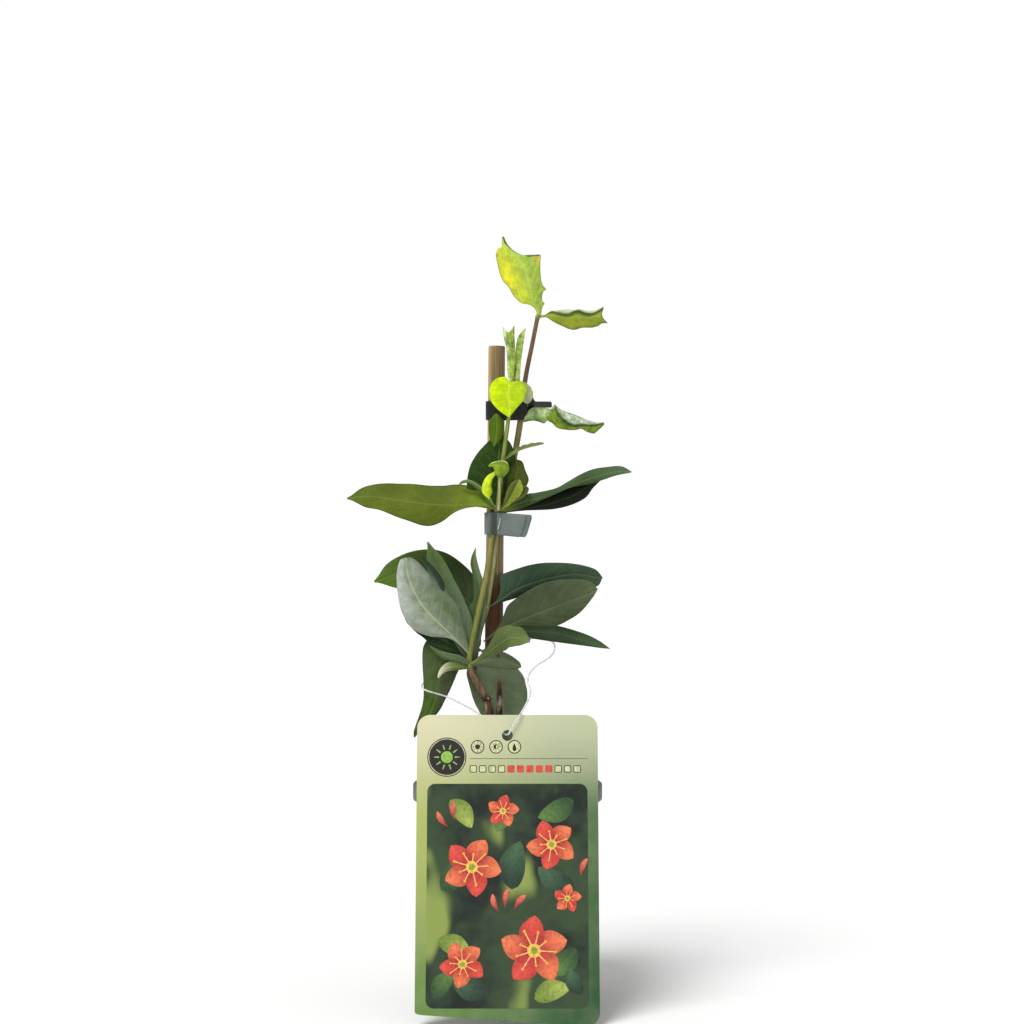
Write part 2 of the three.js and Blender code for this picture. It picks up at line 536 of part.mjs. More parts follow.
function nurseryPot() {
  const { wall, height, rimRadius, rimDrop, baseRadius, footHeight, bossRadius, worn } = POT;
  const corner = 2 * wall; // bevel between the floor and the wall
  const floorTop = footHeight + wall;
  const footInside = baseRadius - POT.footWidth;
  const skirt = height - rimDrop;
  const profile = [
    [0, 0], [bossRadius, 0], [bossRadius + worn, footHeight], [footInside - worn, footHeight],
    [footInside, 0], [baseRadius - worn, 0], [baseRadius, worn], [outerWallAt(skirt), skirt],
    [wallOuterTop, wallTop - wall], [rimRadius - wall, wallTop - wall], [rimRadius - wall, skirt],
    [rimRadius, skirt], [rimRadius, height - worn], [rimRadius - worn, height],
    [wallOuterTop - wall - worn, height], [wallOuterTop - wall, height - worn],
    [outerWallAt(floorTop + corner) - wall, floorTop + corner],
    [outerWallAt(floorTop) - wall - corner, floorTop], [0, floorTop],
  ];
  let pot = solidOf(turned(profile, POT.sides));
  for (let i = 0; i < POT.drains; i++) {
    const turn = (2 * Math.PI * (i + 0.5)) / POT.drains;
    const hole = new THREE.CylinderGeometry(POT.drainRadius, POT.drainRadius, 8, 12).rotateX(Math.PI / 2);
    hole.translate(POT.drainCircle * Math.cos(turn), POT.drainCircle * Math.sin(turn), floorTop / 2);
    pot = pot.subtract(solidOf(hole));
  }
  return pot;
}

// Height of the crumbs over the soil's mean surface: two ripples that cross, the second one flatter.
function crumbs(x, y) {
  const broad = Math.sin(0.55 * x + 1.3) * Math.cos(0.47 * y);
  const askew = Math.sin(0.31 * x - 0.83 * y);
  return SOIL.bump * (broad + 0.6 * askew);
}

function pottingSoil() {
  const floor = POT.footHeight + POT.wall + GAP;
  const inside = (height) => outerWallAt(height) - POT.wall - GAP;
  const { edge, caneHole, baseHole } = SOIL;
  const profile = [[0, floor], [inside(floor) - edge, floor], [inside(floor + edge) - GAP, floor + edge]];
  profile.push([inside(SOIL.top - edge) - GAP, SOIL.top - edge]);
  for (let ring = SOIL.rings; ring >= 0; ring--) {
    profile.push([(ring / SOIL.rings) * (inside(SOIL.top) - 2 * GAP), SOIL.top]);
  }
  const geometry = turned(profile, SOIL.sides);
  const positions = geometry.attributes.position;
  for (let i = 0; i < positions.count; i++) {
    if (positions.getZ(i) < SOIL.top - 0.01) continue;
    positions.setZ(i, SOIL.top + crumbs(positions.getX(i), positions.getY(i)));
  }
  const shaft = [[0, -GAP], [caneHole, -GAP], [caneHole, POT.height], [0, POT.height]];
  const roundCane = solidOf(leanedOnCane(turned(shaft, CANE.sides)));
  const [foot, ...above] = STEMS.woodyBase.points.slice(0, 3);
  const route = [[foot[0], foot[1], foot[2] - baseHole], ...above];
  const roundBase = stem(route, [baseHole, baseHole, baseHole], 6, 8);
  return mainBody(solidOf(geometry).subtract(roundCane).subtract(roundBase));
}

// ---------------------------------------------------------------- tapes and staples

// The outer corners of a set of points in the plane, counter-clockwise.
function hullOf(points) {
  const sorted = [...points].sort((a, b) => a.x - b.x || a.y - b.y);
  const turnOf = (o, a, b) => (a.x - o.x) * (b.y - o.y) - (a.y - o.y) * (b.x - o.x);
  const half = (list) => {
    const out = [];
    for (const p of list) {
      while (out.length > 1 && turnOf(out[out.length - 2], out[out.length - 1], p) <= 1e-9) out.pop();
      out.push(p);
    }
    return out.slice(0, -1);
  };
  return [...half(sorted), ...half(sorted.reverse())];
}

function circlePoints({ x, y, radius }, count = 18) {
  return Array.from({ length: count }, (_, i) => {
    const turn = (2 * Math.PI * i) / count;
    return new THREE.Vector2(x + radius * Math.cos(turn), y + radius * Math.sin(turn));
  });
}

const pointOnStem = (points, height) => {
  const above = points.findIndex((p) => p[2] >= height);
  const [a, b] = [points[above - 1], points[above]];
  const share = (height - a[2]) / (b[2] - a[2]);
  return { x: THREE.MathUtils.lerp(a[0], b[0], share), y: THREE.MathUtils.lerp(a[1], b[1], share) };
};

// A tape wrapped round the cane and some stems, its two ends pressed together as a flag that runs from
// pinch to end. twistDeg turns the flag about its own length, lift raises it from its share liftBy on, and
// slant cuts its end askew.
function tape({ low, width, stems, pinch, end, innerEnd, twistDeg = 0, slant = 0, lift = 0, liftBy = 1 }) {
  const held = [low, low + width / 2, low + width].flatMap((height) => [
    { ...caneAt(height), radius: caneAt(height).radius + GAP },
    ...stems.map(({ points, radius }) => ({ ...pointOnStem(points, height), radius: radius + GAP })),
  ]);
  const inside = hullOf([...held.flatMap((circle) => circlePoints(circle)), new THREE.Vector2(...pinch)]);
  const outside = hullOf(inside.flatMap((p) => circlePoints({ x: p.x, y: p.y, radius: TAPE.thickness }, 8)));
  const band = new THREE.Shape(outside);
  band.holes.push(new THREE.Path(inside));
  const upright = new THREE.ExtrudeGeometry(band, { depth: width, bevelEnabled: false });
  const ring = solidOf(upright.translate(0, 0, low));
  const start = new THREE.Vector2(...pinch);
  const along = new THREE.Vector2(...end).sub(start).normalize();
  const back = new THREE.Vector2(-along.y, along.x).multiplyScalar(TAPE.thickness);
  const ply = (until, offset) => {
    const positions = [];
    for (const side of [0, 1 + 2 * TAPE.plyOverlap]) {
      for (let i = 0; i <= TAPE.flagSteps; i++) {
        const share = i / TAPE.flagSteps;
        const turn = THREE.MathUtils.degToRad(twistDeg) * THREE.MathUtils.smoothstep(share, 0.22, 0.45);
        const middle = low + width / 2 + lift * Math.min(1, share / liftBy);
        for (const rise of [-width / 2, width / 2]) {
          const place = start.clone().lerp(new THREE.Vector2(...until), share);
          place.addScaledVector(back, offset + side).addScaledVector(along, slant * rise * share);
          positions.push(place.x, place.y + rise * Math.sin(turn), middle + rise * Math.cos(turn));
        }
      }
    }
    return solidOf(geometryOf(positions, slabTriangles(TAPE.flagSteps, 1)));
  };
  return mainBody(wasm.Manifold.union([ring, ply(end, 0), ply(innerEnd, -1)]));
}

// A box of a staple or of its slots, tilted with it. The offset is from the middle of its crown.
function stapleBar({ place, tiltDeg }, size, offset) {
  const box = new THREE.BoxGeometry(...size).translate(...offset);
  return solidOf(box.rotateY(THREE.MathUtils.degToRad(tiltDeg)).translate(...place));
}

// A staple across a flag: its crown stands on the front of the tape, and its legs go through slots and
// are bent over behind. place is the middle of its crown, and tiltDeg leans its top to the right.
// room widens its bars all round, for the slots.
function staple(at, room = 0) {
  const { crown, wire, legs, bend } = STAPLE;
  const wide = wire + 2 * room;
  const pieces = [stapleBar(at, [wide, wide, crown + 2 * room], [0, 0, 0])];
  for (const side of [1, -1]) {
    const height = (side * (crown - wire)) / 2;
    const bent = height - (side * (bend - wire)) / 2;
    pieces.push(stapleBar(at, [wide, legs + 2 * room, wide], [0, (legs - wire) / 2, height]));
    pieces.push(stapleBar(at, [wide, wide, bend + 2 * room], [0, legs - wire, bent]));
  }
  return wasm.Manifold.union(pieces);
}

const LOWER_TAPE = {
  low: 217.9,
  width: 10.6,
  stems: [{ points: STEMS.frontStem.points, radius: 1.5 }, { points: STEMS.rearStem.points, radius: 1.2 }],
  pinch: [-5, -7.95],
  end: [10.4, -8.6],
  innerEnd: [7.6, -8.4],
  slant: 0.3,
  lift: -1.2,
};
const UPPER_TAPE = {
  low: 272.6,
  width: 9,
  stems: [{ points: STEMS.rearStem.points, radius: 1.45 }],
  pinch: [7.4, 3.8],
  end: [21.2, 4.6],
  innerEnd: [19, 4.4],
  twistDeg: 68,
  lift: 3,
  liftBy: 0.3,
};
const STAPLES = {
  lower: { place: [-3.9, -9.1, 223.2], tiltDeg: 14 },
  upper: { place: [9.4, 2.8, 278.4], tiltDeg: 0 },
};

// ---------------------------------------------------------------- label and thread

const lean = THREE.MathUtils.degToRad(LABEL.leanDeg);
const labelFoot = -POT.rimRadius - GAP / Math.cos(lean) - POT.height * Math.tan(lean);

// The label lies in its own plane, x across and y up from its lower edge, and is then leaned on the rim.
function hangingLabel() {
  const { width, length, corner, thickness, holeRadius, holeFromTop } = LABEL;
  const [left, right] = [-width / 2, width / 2];
  const outline = new THREE.Shape();
  outline.moveTo(left + corner, 0).lineTo(right - corner, 0);
  outline.absarc(right - corner, corner, corner, -Math.PI / 2, 0);
  outline.absarc(right - corner, length - corner, corner, 0, Math.PI / 2);
  outline.absarc(left + corner, length - corner, corner, Math.PI / 2, Math.PI);
  outline.absarc(left + corner, corner, corner, Math.PI, 1.5 * Math.PI);
  outline.holes.push(new THREE.Path().absarc(0, length - holeFromTop, holeRadius, 0, 2 * Math.PI));
  const sheet = { depth: thickness, bevelEnabled: false, curveSegments: 6 };
  const slab = new THREE.ExtrudeGeometry(outline, sheet);
  slab.rotateX(Math.PI / 2 - lean).translate(0, labelFoot, 0);
  return solidOf(slab);
}

// The route of the label's thread: from its knot behind the label, through the hole to the front, up on
// the right, round behind the cane, back round the hanging leaf on the left and down to the knot.
const THREAD_ROUTE = [
  [-2.6, -37.2, 127.8], [-0.6, -39, 126.8], [0.6, -41.2, 127.4], [2.6, -41.2, 131.2], [6.2, -39.4, 136.6],
  [9.6, -35.8, 142.6], [10.6, -32.4, 146.4], [9.4, -29, 150.4], [10.4, -25.6, 154], [14, -21, 157.4],
  [19.2, -15.6, 160.2], [22, -8, 163], [21.6, 0, 166.6], [15, 7, 168.4], [5, 10.4, 166.4],
  [-6.7, 10.8, 163.4], [-19, 8.8, 160.4], [-30, 3.6, 156], [-37.8, -4, 149.8], [-40.1, -11, 147.4],
  [-40.1, -15.6, 146.2], [-36.8, -18.9, 144.9], [-28.6, -20.4, 142.6], [-22, -24.6, 140],
  [-16, -29, 137.2], [-11, -32.8, 134.2], [-6.4, -35.8, 130.8], [-3.4, -37, 128.2],
];

function labelThread() {
  const section = new THREE.Shape(circlePoints({ x: 0, y: 0, radius: THREAD.radius }, THREAD.sides));
  const along = { steps: THREAD.steps, extrudePath: smoothCurve(THREAD_ROUTE) };
  const strand = solidOf(new THREE.ExtrudeGeometry(section, along));
  const knot = new THREE.SphereGeometry(THREAD.knot, 8, 6).translate(...THREAD.knotAt);
  return mainBody(strand.add(solidOf(knot)));
}

// ---------------------------------------------------------------- the whole plant

const frontStem = leafyStem(STEMS.frontStem, FRONT_LEAVES, SWELLINGS.front);
const rearStem = leafyStem(STEMS.rearStem, REAR_LEAVES, SWELLINGS.rear);

const plant = new THREE.Group();
plant.add(
  nodeOf("nursery_pot", nurseryPot(), COLOURS.pot),
  nodeOf("potting_soil", pottingSoil(), COLOURS.soil),
  nodeOf("bamboo_cane", bambooCane(), COLOURS.cane),
  nodeOf("woody_base", woodyBase(), COLOURS.bark),
  nodeOf("front_leafy_stem", frontStem, COLOURS.leafMiddle),
  nodeOf("rear_leafy_stem", rearStem, COLOURS.leafDark),
  nodeOf("centre_shoot", leafyStem(STEMS.centreShoot, SHOOT_LEAVES), COLOURS.leafYoung),
  nodeOf("lower_tape", tape(LOWER_TAPE).subtract(staple(STAPLES.lower, GAP)), COLOURS.tape),
  nodeOf("upper_tape", tape(UPPER_TAPE).subtract(staple(STAPLES.upper, GAP)), COLOURS.tape),
  nodeOf("lower_staple", staple(STAPLES.lower), COLOURS.staple),
  nodeOf("upper_staple", staple(STAPLES.upper), COLOURS.staple),
  nodeOf("hanging_label", hangingLabel(), COLOURS.label),
  nodeOf("label_thread", labelThread(), COLOURS.thread),
);
export default plant;
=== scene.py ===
"""Looks of a young climbing honeysuckle in its nursery pot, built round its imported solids.

Blender works in metres, with +Z up and the front towards -Y. The tables below are in millimetres, and
their colours are screen colours from 0 to 255.
"""
import math
import random

import bpy
import numpy as np
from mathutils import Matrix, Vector


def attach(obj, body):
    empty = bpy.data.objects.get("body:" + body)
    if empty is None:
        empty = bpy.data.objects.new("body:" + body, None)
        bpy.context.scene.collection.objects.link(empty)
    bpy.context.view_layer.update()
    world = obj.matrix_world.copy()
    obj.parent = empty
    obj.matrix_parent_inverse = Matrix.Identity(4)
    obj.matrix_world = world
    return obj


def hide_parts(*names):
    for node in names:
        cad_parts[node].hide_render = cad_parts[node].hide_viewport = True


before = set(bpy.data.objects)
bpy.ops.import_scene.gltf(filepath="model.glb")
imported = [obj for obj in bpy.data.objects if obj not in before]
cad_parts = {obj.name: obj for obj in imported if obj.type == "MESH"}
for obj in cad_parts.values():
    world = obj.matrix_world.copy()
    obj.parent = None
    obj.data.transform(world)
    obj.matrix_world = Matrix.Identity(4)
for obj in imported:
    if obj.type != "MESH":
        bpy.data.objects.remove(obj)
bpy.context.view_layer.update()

MM = 0.001
rng = random.Random(11)


def linked(name, data):
    """A new object in the scene."""
    made = bpy.data.objects.new(name, data)
    bpy.context.scene.collection.objects.link(made)
    return made


# ---------------------------------------------------------------- camera

SENSOR = 36.0
FRAME_SIDE = 1024
FOCAL_PIXELS = 2100
EYE = (0.0021, -1.0, 0.2287)

camera = linked("camera", bpy.data.cameras.new("camera"))
camera.location = EYE
camera.rotation_euler = (math.pi / 2, 0, 0)
camera.data.sensor_width = SENSOR
camera.data.lens = FOCAL_PIXELS * SENSOR / FRAME_SIDE
camera.data.clip_start = 0.02
camera.data.clip_end = 200
bpy.context.scene.camera = camera


# ---------------------------------------------------------------- curves, numbers and colours

def unit(vectors):
    vectors = np.asarray(vectors, float)
    length = np.linalg.norm(vectors, axis=-1, keepdims=True)
    return vectors / np.maximum(length, 1e-12)


def on_line(points, share):
    """Points of the smooth line through a route, at shares 0 to 1 of its spans."""
    route = np.asarray(points, float)
    ends = np.vstack([2 * route[0] - route[1], route, 2 * route[-1] - route[-2]])
    at = np.clip(share, 0, 1) * (len(route) - 1)
    i = np.minimum(at.astype(int), len(route) - 2)
    f = (at - i)[:, None]
    before, a, b, after = ends[i], ends[i + 1], ends[i + 2], ends[i + 3]
    start, stop = 0.5 * (b - before), 0.5 * (after - a)
    return a + f * (start + f * (3 * (b - a) - 2 * start - stop + f * (2 * (a - b) + start + stop)))


def spaced(line, count):
    """count + 1 points at equal distances along a line of points."""
    gone = np.concatenate([[0], np.cumsum(np.linalg.norm(np.diff(line, axis=0), axis=1))])
    wanted = np.linspace(0, gone[-1], count + 1)
    return np.stack([np.interp(wanted, gone, column) for column in line.T], axis=1)


def evenly(points, count):
    """count + 1 points at equal distances along the smooth line through a route."""
    return spaced(on_line(points, np.linspace(0, 1, 40 * len(points))), count)


def stations(values, share):
    """Numbers or points at equal steps, read smoothly at shares 0 to 1."""
    values = np.asarray(values, float)
    last = len(values) - 1
    at = np.clip(share, 0, 1) * last
    i = np.minimum(at.astype(int), last - 1)
    f = (at - i).reshape(np.shape(at) + (1,) * (values.ndim - 1))
    before, a = values[np.maximum(i - 1, 0)], values[i]
    b, after = values[i + 1], values[np.minimum(i + 2, last)]
    bend = 2 * before - 5 * a + 4 * b - after + f * (3 * (a - b) + after - before)
    return a + 0.5 * f * (b - before + f * bend)


def smooth(value, low, high):
    """0 up to low and 1 from high on, with a soft rise between them."""
    t = np.clip((np.asarray(value, float) - low) / (high - low), 0, 1)
    return t * t * (3 - 2 * t)


def turns(count, start=0.0):
    """Equal angles round a circle."""
    return [2 * math.pi * (k + start) / count for k in range(count)]


def paint(red, green, blue):
    """A screen colour as the linear colour that shaders take."""
    return np.array([((c / 255 + 0.055) / 1.055) ** 2.4 for c in (red, green, blue)])


def blended(a, b, share):
    share = np.asarray(share, float)[..., None]
    return np.asarray(a, float) * (1 - share) + np.asarray(b, float) * share


def ramp(stops, share):
    """Linear colours at each share, between screen colours that stand at set shares."""
    colours = np.array([paint(*colour) for _, colour in stops])
    return np.stack([np.interp(share, [at for at, _ in stops], column) for column in colours.T], axis=1)


# ---------------------------------------------------------------- meshes

def mesh_of(name, points, faces):
    """A mesh through points in millimetres."""
    mesh = bpy.data.meshes.new(name)
    mesh.from_pydata([tuple(MM * c for c in p) for p in points], [], faces)
    return mesh


def placed(obj, replaces=()):
    """Hands a piece to the frame: what it rides and the solids that it stands for."""
    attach(obj, "root")
    if replaces:
        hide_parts(*replaces)
    return obj


class Shell:
    """Points, faces, colours and leaf places gathered for one piece, in millimetres."""

    def __init__(self):
        self.points, self.faces, self.tints, self.ribs = [], [], [], []

    def add(self, points, faces, tints, ribs=None):
        start = len(self.points)
        points = np.asarray(points, float).reshape(-1, 3)
        tints = np.asarray(tints, float)
        if tints.ndim == 1:
            tints = np.tile(tints, (len(points), 1))
        if tints.shape[1] == 3:
            tints = np.hstack([tints, np.zeros((len(points), 1))])
        ribs = np.zeros(points.shape) if ribs is None else ribs
        self.points.extend(points.tolist())
        self.tints.extend(tints.tolist())
        self.ribs.extend(ribs.tolist())
        self.faces.extend([tuple(start + k for k in face) for face in faces])

    def made(self, name, material, slot, replaces=(), flat=False):
        mesh = mesh_of(name, self.points, self.faces)
        tint = mesh.color_attributes.new("tint", "FLOAT_COLOR", "POINT")
        tint.data.foreach_set("color", np.asarray(self.tints, np.float32).ravel())
        rib = mesh.attributes.new("rib", "FLOAT_VECTOR", "POINT")
        rib.data.foreach_set("vector", np.asarray(self.ribs, np.float32).ravel())
        mesh.polygons.foreach_set("use_smooth", [not flat] * len(mesh.polygons))
        mesh.materials.append(material)
        mesh.update()
        return placed(linked(name, mesh), replaces)


def cut_out(obj, shell):
    """Cuts a shell's shape out of a mesh object, for good."""
    cutter = linked("cutter", mesh_of("cutter", shell.points, shell.faces))
    cut = obj.modifiers.new("cut", "BOOLEAN")
    cut.operation = "DIFFERENCE"
    cut.solver = "EXACT"
    cut.object = cutter
    bpy.context.view_layer.update()
    graph = bpy.context.evaluated_depsgraph_get()
    made = bpy.data.meshes.new_from_object(obj.evaluated_get(graph))
    obj.modifiers.clear()
    obj.data = made
    bpy.data.objects.remove(cutter)


def ring_faces(rows, sides, capped=True):
    """Faces of a tube whose rings of points follow each other."""
    faces = []
    for i in range(rows):
        for k in range(sides):
            a, b = i * sides + k, i * sides + (k + 1) % sides
            faces.append((a, b, b + sides, a + sides))
    if capped:
        faces.append(tuple(reversed(range(sides))))
        faces.append(tuple(rows * sides + k for k in range(sides)))
    return faces


def tube(shell, line, radii, tints, sides=14, rough=None):
    """A round stem along a line of points. rough(i, turn) scales its radius."""
    line = np.asarray(line, float)
    radii = np.broadcast_to(radii, len(line))
    along = unit(np.gradient(line, axis=0))
    side = unit(np.cross(along[0], (0.3, 1, 0.2)))
    points = []
    for i, centre in enumerate(line):
        side = unit(side - along[i] * side.dot(along[i]))
        other = np.cross(along[i], side)
        for turn in turns(sides):
            radius = radii[i] * (rough(i, turn) if rough else 1)
            points.append(centre + radius * (math.cos(turn) * side + math.sin(turn) * other))
    tints = np.asarray(tints, float)
    if tints.ndim == 2:
        tints = np.repeat(tints, sides, axis=0)
    shell.add(points, ring_faces(len(line) - 1, sides), tints)


def lathe(shell, profile, sides, tint, shape=None):
    """A profile of (radius, height) pairs turned about Z, from axis to axis. shape moves its points."""
    rings = [p for p in profile if p[0] > 1e-6]
    points = [(0, 0, profile[0][1])]
    for radius, height in rings:
        points += [(radius * math.cos(turn), radius * math.sin(turn), height) for turn in turns(sides)]
    points.append((0, 0, profile[-1][1]))
    last = 1 + (len(rings) - 1) * sides
    faces = [(0, 1 + (k + 1) % sides, 1 + k) for k in range(sides)]
    faces += [tuple(1 + k for k in face) for face in ring_faces(len(rings) - 1, sides, False)]
    faces += [(last + k, last + (k + 1) % sides, len(points) - 1) for k in range(sides)]
    points = np.array(points)
    shell.add(shape(points) if shape else points, faces, tint)


def ball(shell, centre, radii, tint, rings=10, sides=16):
    downs = [math.pi * i / rings for i in range(rings + 1)]
    profile = [(math.sin(down), -math.cos(down)) for down in downs]
    lathe(shell, profile, sides, tint, lambda points: points * radii + centre)


def slab(shell, upper, under, upper_tint, under_tint, ribs=None):
    """A thin closed sheet between two grids of points that follow each other."""
    rows, columns = upper.shape[0] - 1, upper.shape[1] - 1
    step = columns + 1
    half = (rows + 1) * step
    faces = []
    for i in range(rows):
        for a in range(i * step, i * step + columns):
            faces.append((a, a + 1, a + step + 1, a + step))
            faces.append((half + a, half + a + step, half + a + step + 1, half + a + 1))
        for a, b in ((i * step, (i + 1) * step), ((i + 1) * step + columns, i * step + columns)):
            faces.append((a, b, half + b, half + a))
    for j in range(columns):
        a, b = j, rows * step + j
        faces.append((a + 1, a, half + a, half + a + 1))
        faces.append((b, b + 1, half + b + 1, half + b))
    points = np.concatenate([upper.reshape(-1, 3), under.reshape(-1, 3)])
    tints = [np.broadcast_to(t, upper.shape[:2] + (np.shape(t)[-1],)) for t in (upper_tint, under_tint)]
    tints = np.concatenate([t.reshape(-1, t.shape[-1]) for t in tints])
    both = None if ribs is None else np.concatenate([ribs.reshape(-1, 3)] * 2)
    shell.add(points, faces, tints, both)


# ---------------------------------------------------------------- material nodes

class Graph:
    """A material's node tree, with short calls for the nodes used here."""

    def __init__(self, name, **constants):
        self.material = bpy.data.materials.new(name)
        self.material.use_nodes = True
        self.tree = self.material.node_tree
        self.shader = self.tree.nodes["Principled BSDF"]
        self.place = self.node("ShaderNodeTexCoord").outputs["Object"]
        for socket, value in constants.items():
            self.shader.inputs[socket.replace("_", " ")].default_value = value

    def node(self, kind, values=(), **settings):
        made = self.tree.nodes.new(kind)
        for key, value in settings.items():
            setattr(made, key, value)
        for socket, value in dict(values).items():
            self.put(made.inputs[socket], value)
        return made

    def put(self, socket, value):
        if isinstance(value, bpy.types.NodeSocket):
            self.tree.links.new(value, socket)
        elif hasattr(value, "__len__") and len(value) == 3 and socket.type == "RGBA":
            socket.default_value = (*value, 1)
        else:
            socket.default_value = value

    def math(self, operation, first, second=0.0, third=0.0):
        values = {0: first, 1: second, 2: third}
        return self.node("ShaderNodeMath", values, operation=operation).outputs[0]

    def add(self, first, second):
        return self.math("ADD", first, second)

    def less(self, first, second):
        return self.math("SUBTRACT", first, second)

    def times(self, first, second):
        return self.math("MULTIPLY", first, second)

    def mix(self, share, a, b, blend="MIX"):
        made = self.node("ShaderNodeMix", {0: share, 6: a, 7: b}, data_type="RGBA", blend_type=blend)
        return made.outputs[2]

    def darker(self, colour, factors):
        """A colour with its red, green and blue multiplied."""
        return self.mix(1.0, colour, factors, "MULTIPLY")

    def noise(self, scale, detail=3.0, stretch=None, rough=0.55):
        where = self.place
        if stretch:
            where = self.node("ShaderNodeMapping", {"Vector": self.place, "Scale": stretch}).outputs[0]
        values = {"Vector": where, "Scale": scale, "Detail": detail, "Roughness": rough}
        return self.node("ShaderNodeTexNoise", values).outputs["Fac"]

    def cells(self, scale, feature="DISTANCE_TO_EDGE"):
        values = {"Vector": self.place, "Scale": scale}
        return self.node("ShaderNodeTexVoronoi", values, feature=feature).outputs["Distance"]

    def band(self, value, low=0.3, high=0.7, to_low=0.0, to_high=1.0):
        """A soft step from to_low to to_high as a value goes from low to high."""
        values = {0: value, 1: low, 2: high, 3: to_low, 4: to_high}
        return self.node("ShaderNodeMapRange", values, interpolation_type="SMOOTHSTEP").outputs[0]

    def attribute(self, name, output):
        return self.node("ShaderNodeAttribute", attribute_name=name).outputs[output]

    def axes(self, vector):
        return self.node("ShaderNodeSeparateXYZ", {0: vector}).outputs[:3]

    def finish(self, colour, rough, relief=None, depth=0.1):
        """rough is a number, or what varies and the least and the most. depth of relief in millimetres."""
        self.put(self.shader.inputs["Base Color"], colour)
        if isinstance(rough, tuple):
            varies, least, most = rough
            rough = self.band(varies, to_low=least, to_high=most)
        self.put(self.shader.inputs["Roughness"], rough)
        if relief is not None:
            bump = self.node("ShaderNodeBump", {"Height": relief, "Distance": depth * MM, "Strength": 1.0})
            self.put(self.shader.inputs["Normal"], bump.outputs[0])
        return self.material


VEIN_PAIRS = 9
VEIN_SWEEP = 0.25  # how far a side vein runs towards the tip, as a share of the leaf
VEIN_BEND = 1.3
NET_CELLS = 620  # scale of the fine net between the veins


def leaf_material(name, vein_colour, specular, blotches=(0.86, 1.12), blotch_scale=70):
    """A leaf: its painted colour, midrib, side veins, fine net and soft blotches."""
    g = Graph(name, Specular_IOR_Level=specular)
    tint = g.attribute("tint", "Color")
    clear = g.attribute("tint", "Alpha")
    along, out, distance = g.axes(g.attribute("rib", "Vector"))
    wobble = g.times(g.less(g.noise(160, 2), 0.5), 0.5)
    swept = g.times(g.math("POWER", out, VEIN_BEND), VEIN_PAIRS * VEIN_SWEEP)
    phase = g.add(g.less(g.times(along, VEIN_PAIRS), swept), wobble)
    off = g.math("ABSOLUTE", g.less(g.math("FRACT", phase), 0.5))
    side = g.times(g.band(off, 0.0, 0.055, 1, 0), g.band(out, 0.6, 1.0, 0.75, 0.1))
    veins = g.math("MAXIMUM", g.band(distance, 0.12, 0.5, 1, 0), side)
    net = g.band(g.cells(NET_CELLS), 0.0, 0.1, 1, 0)
    blotch = g.band(g.noise(blotch_scale, 4), 0.35, 0.65, *blotches)
    shade = g.times(blotch, g.band(g.noise(900, 3), to_low=0.93, to_high=1.07))
    body = g.darker(tint, g.node("ShaderNodeCombineXYZ", {0: shade, 1: shade, 2: shade}).outputs[0])
    pale = g.mix(0.45, tint, paint(*vein_colour))
    body = g.mix(g.times(net, g.times(clear, 0.18)), body, pale)
    colour = g.mix(g.times(veins, clear), body, pale)
    relief = g.add(g.times(veins, -0.6), g.times(net, -0.3))
    relief = g.add(relief, g.times(g.noise(1500, 2), 0.25))
    return g.finish(colour, (g.noise(120, 3), 0.44, 0.58), relief, 0.16)


def stem_material():
    """Green and purple-brown shoots, with fine lengthwise lines and small pale pores."""
    g = Graph("stem", Specular_IOR_Level=0.35)
    tint = g.attribute("tint", "Color")
    lines = g.noise(1400, 3, (1, 1, 0.08))
    pores = g.band(g.cells(700, "F1"), 0.05, 0.14, 1, 0)
    colour = g.mix(g.band(lines, 0.38, 0.62), tint, g.darker(tint, (0.72, 0.68, 0.66)))
    colour = g.mix(g.times(pores, 0.3), colour, (0.6, 0.56, 0.4))
    return g.finish(colour, (lines, 0.42, 0.6), lines, 0.12)


def bark_material():
    """Fibrous brown bark with pale flakes."""
    g = Graph("bark", Specular_IOR_Level=0.2)
    tint = g.attribute("tint", "Color")
    fibre = g.noise(1100, 5, (1, 1, 0.12))
    flake = g.noise(260, 4, (1, 1, 0.4))
    colour = g.mix(g.band(fibre, 0.35, 0.65), tint, g.darker(tint, (0.42, 0.36, 0.33)))
    colour = g.mix(g.band(flake, 0.54, 0.68), colour, paint(168, 146, 122))
    return g.finish(colour, (flake, 0.75, 0.95), g.add(fibre, g.times(flake, 0.8)), 0.5)


CANE_FOOT, CANE_TOP = np.array([-8, 4, 12.0]), np.array([-5.2, 4, 308.0])
CANE_RADII = (4.6, 4.05)
CANE_NODES = (66, 197.5)


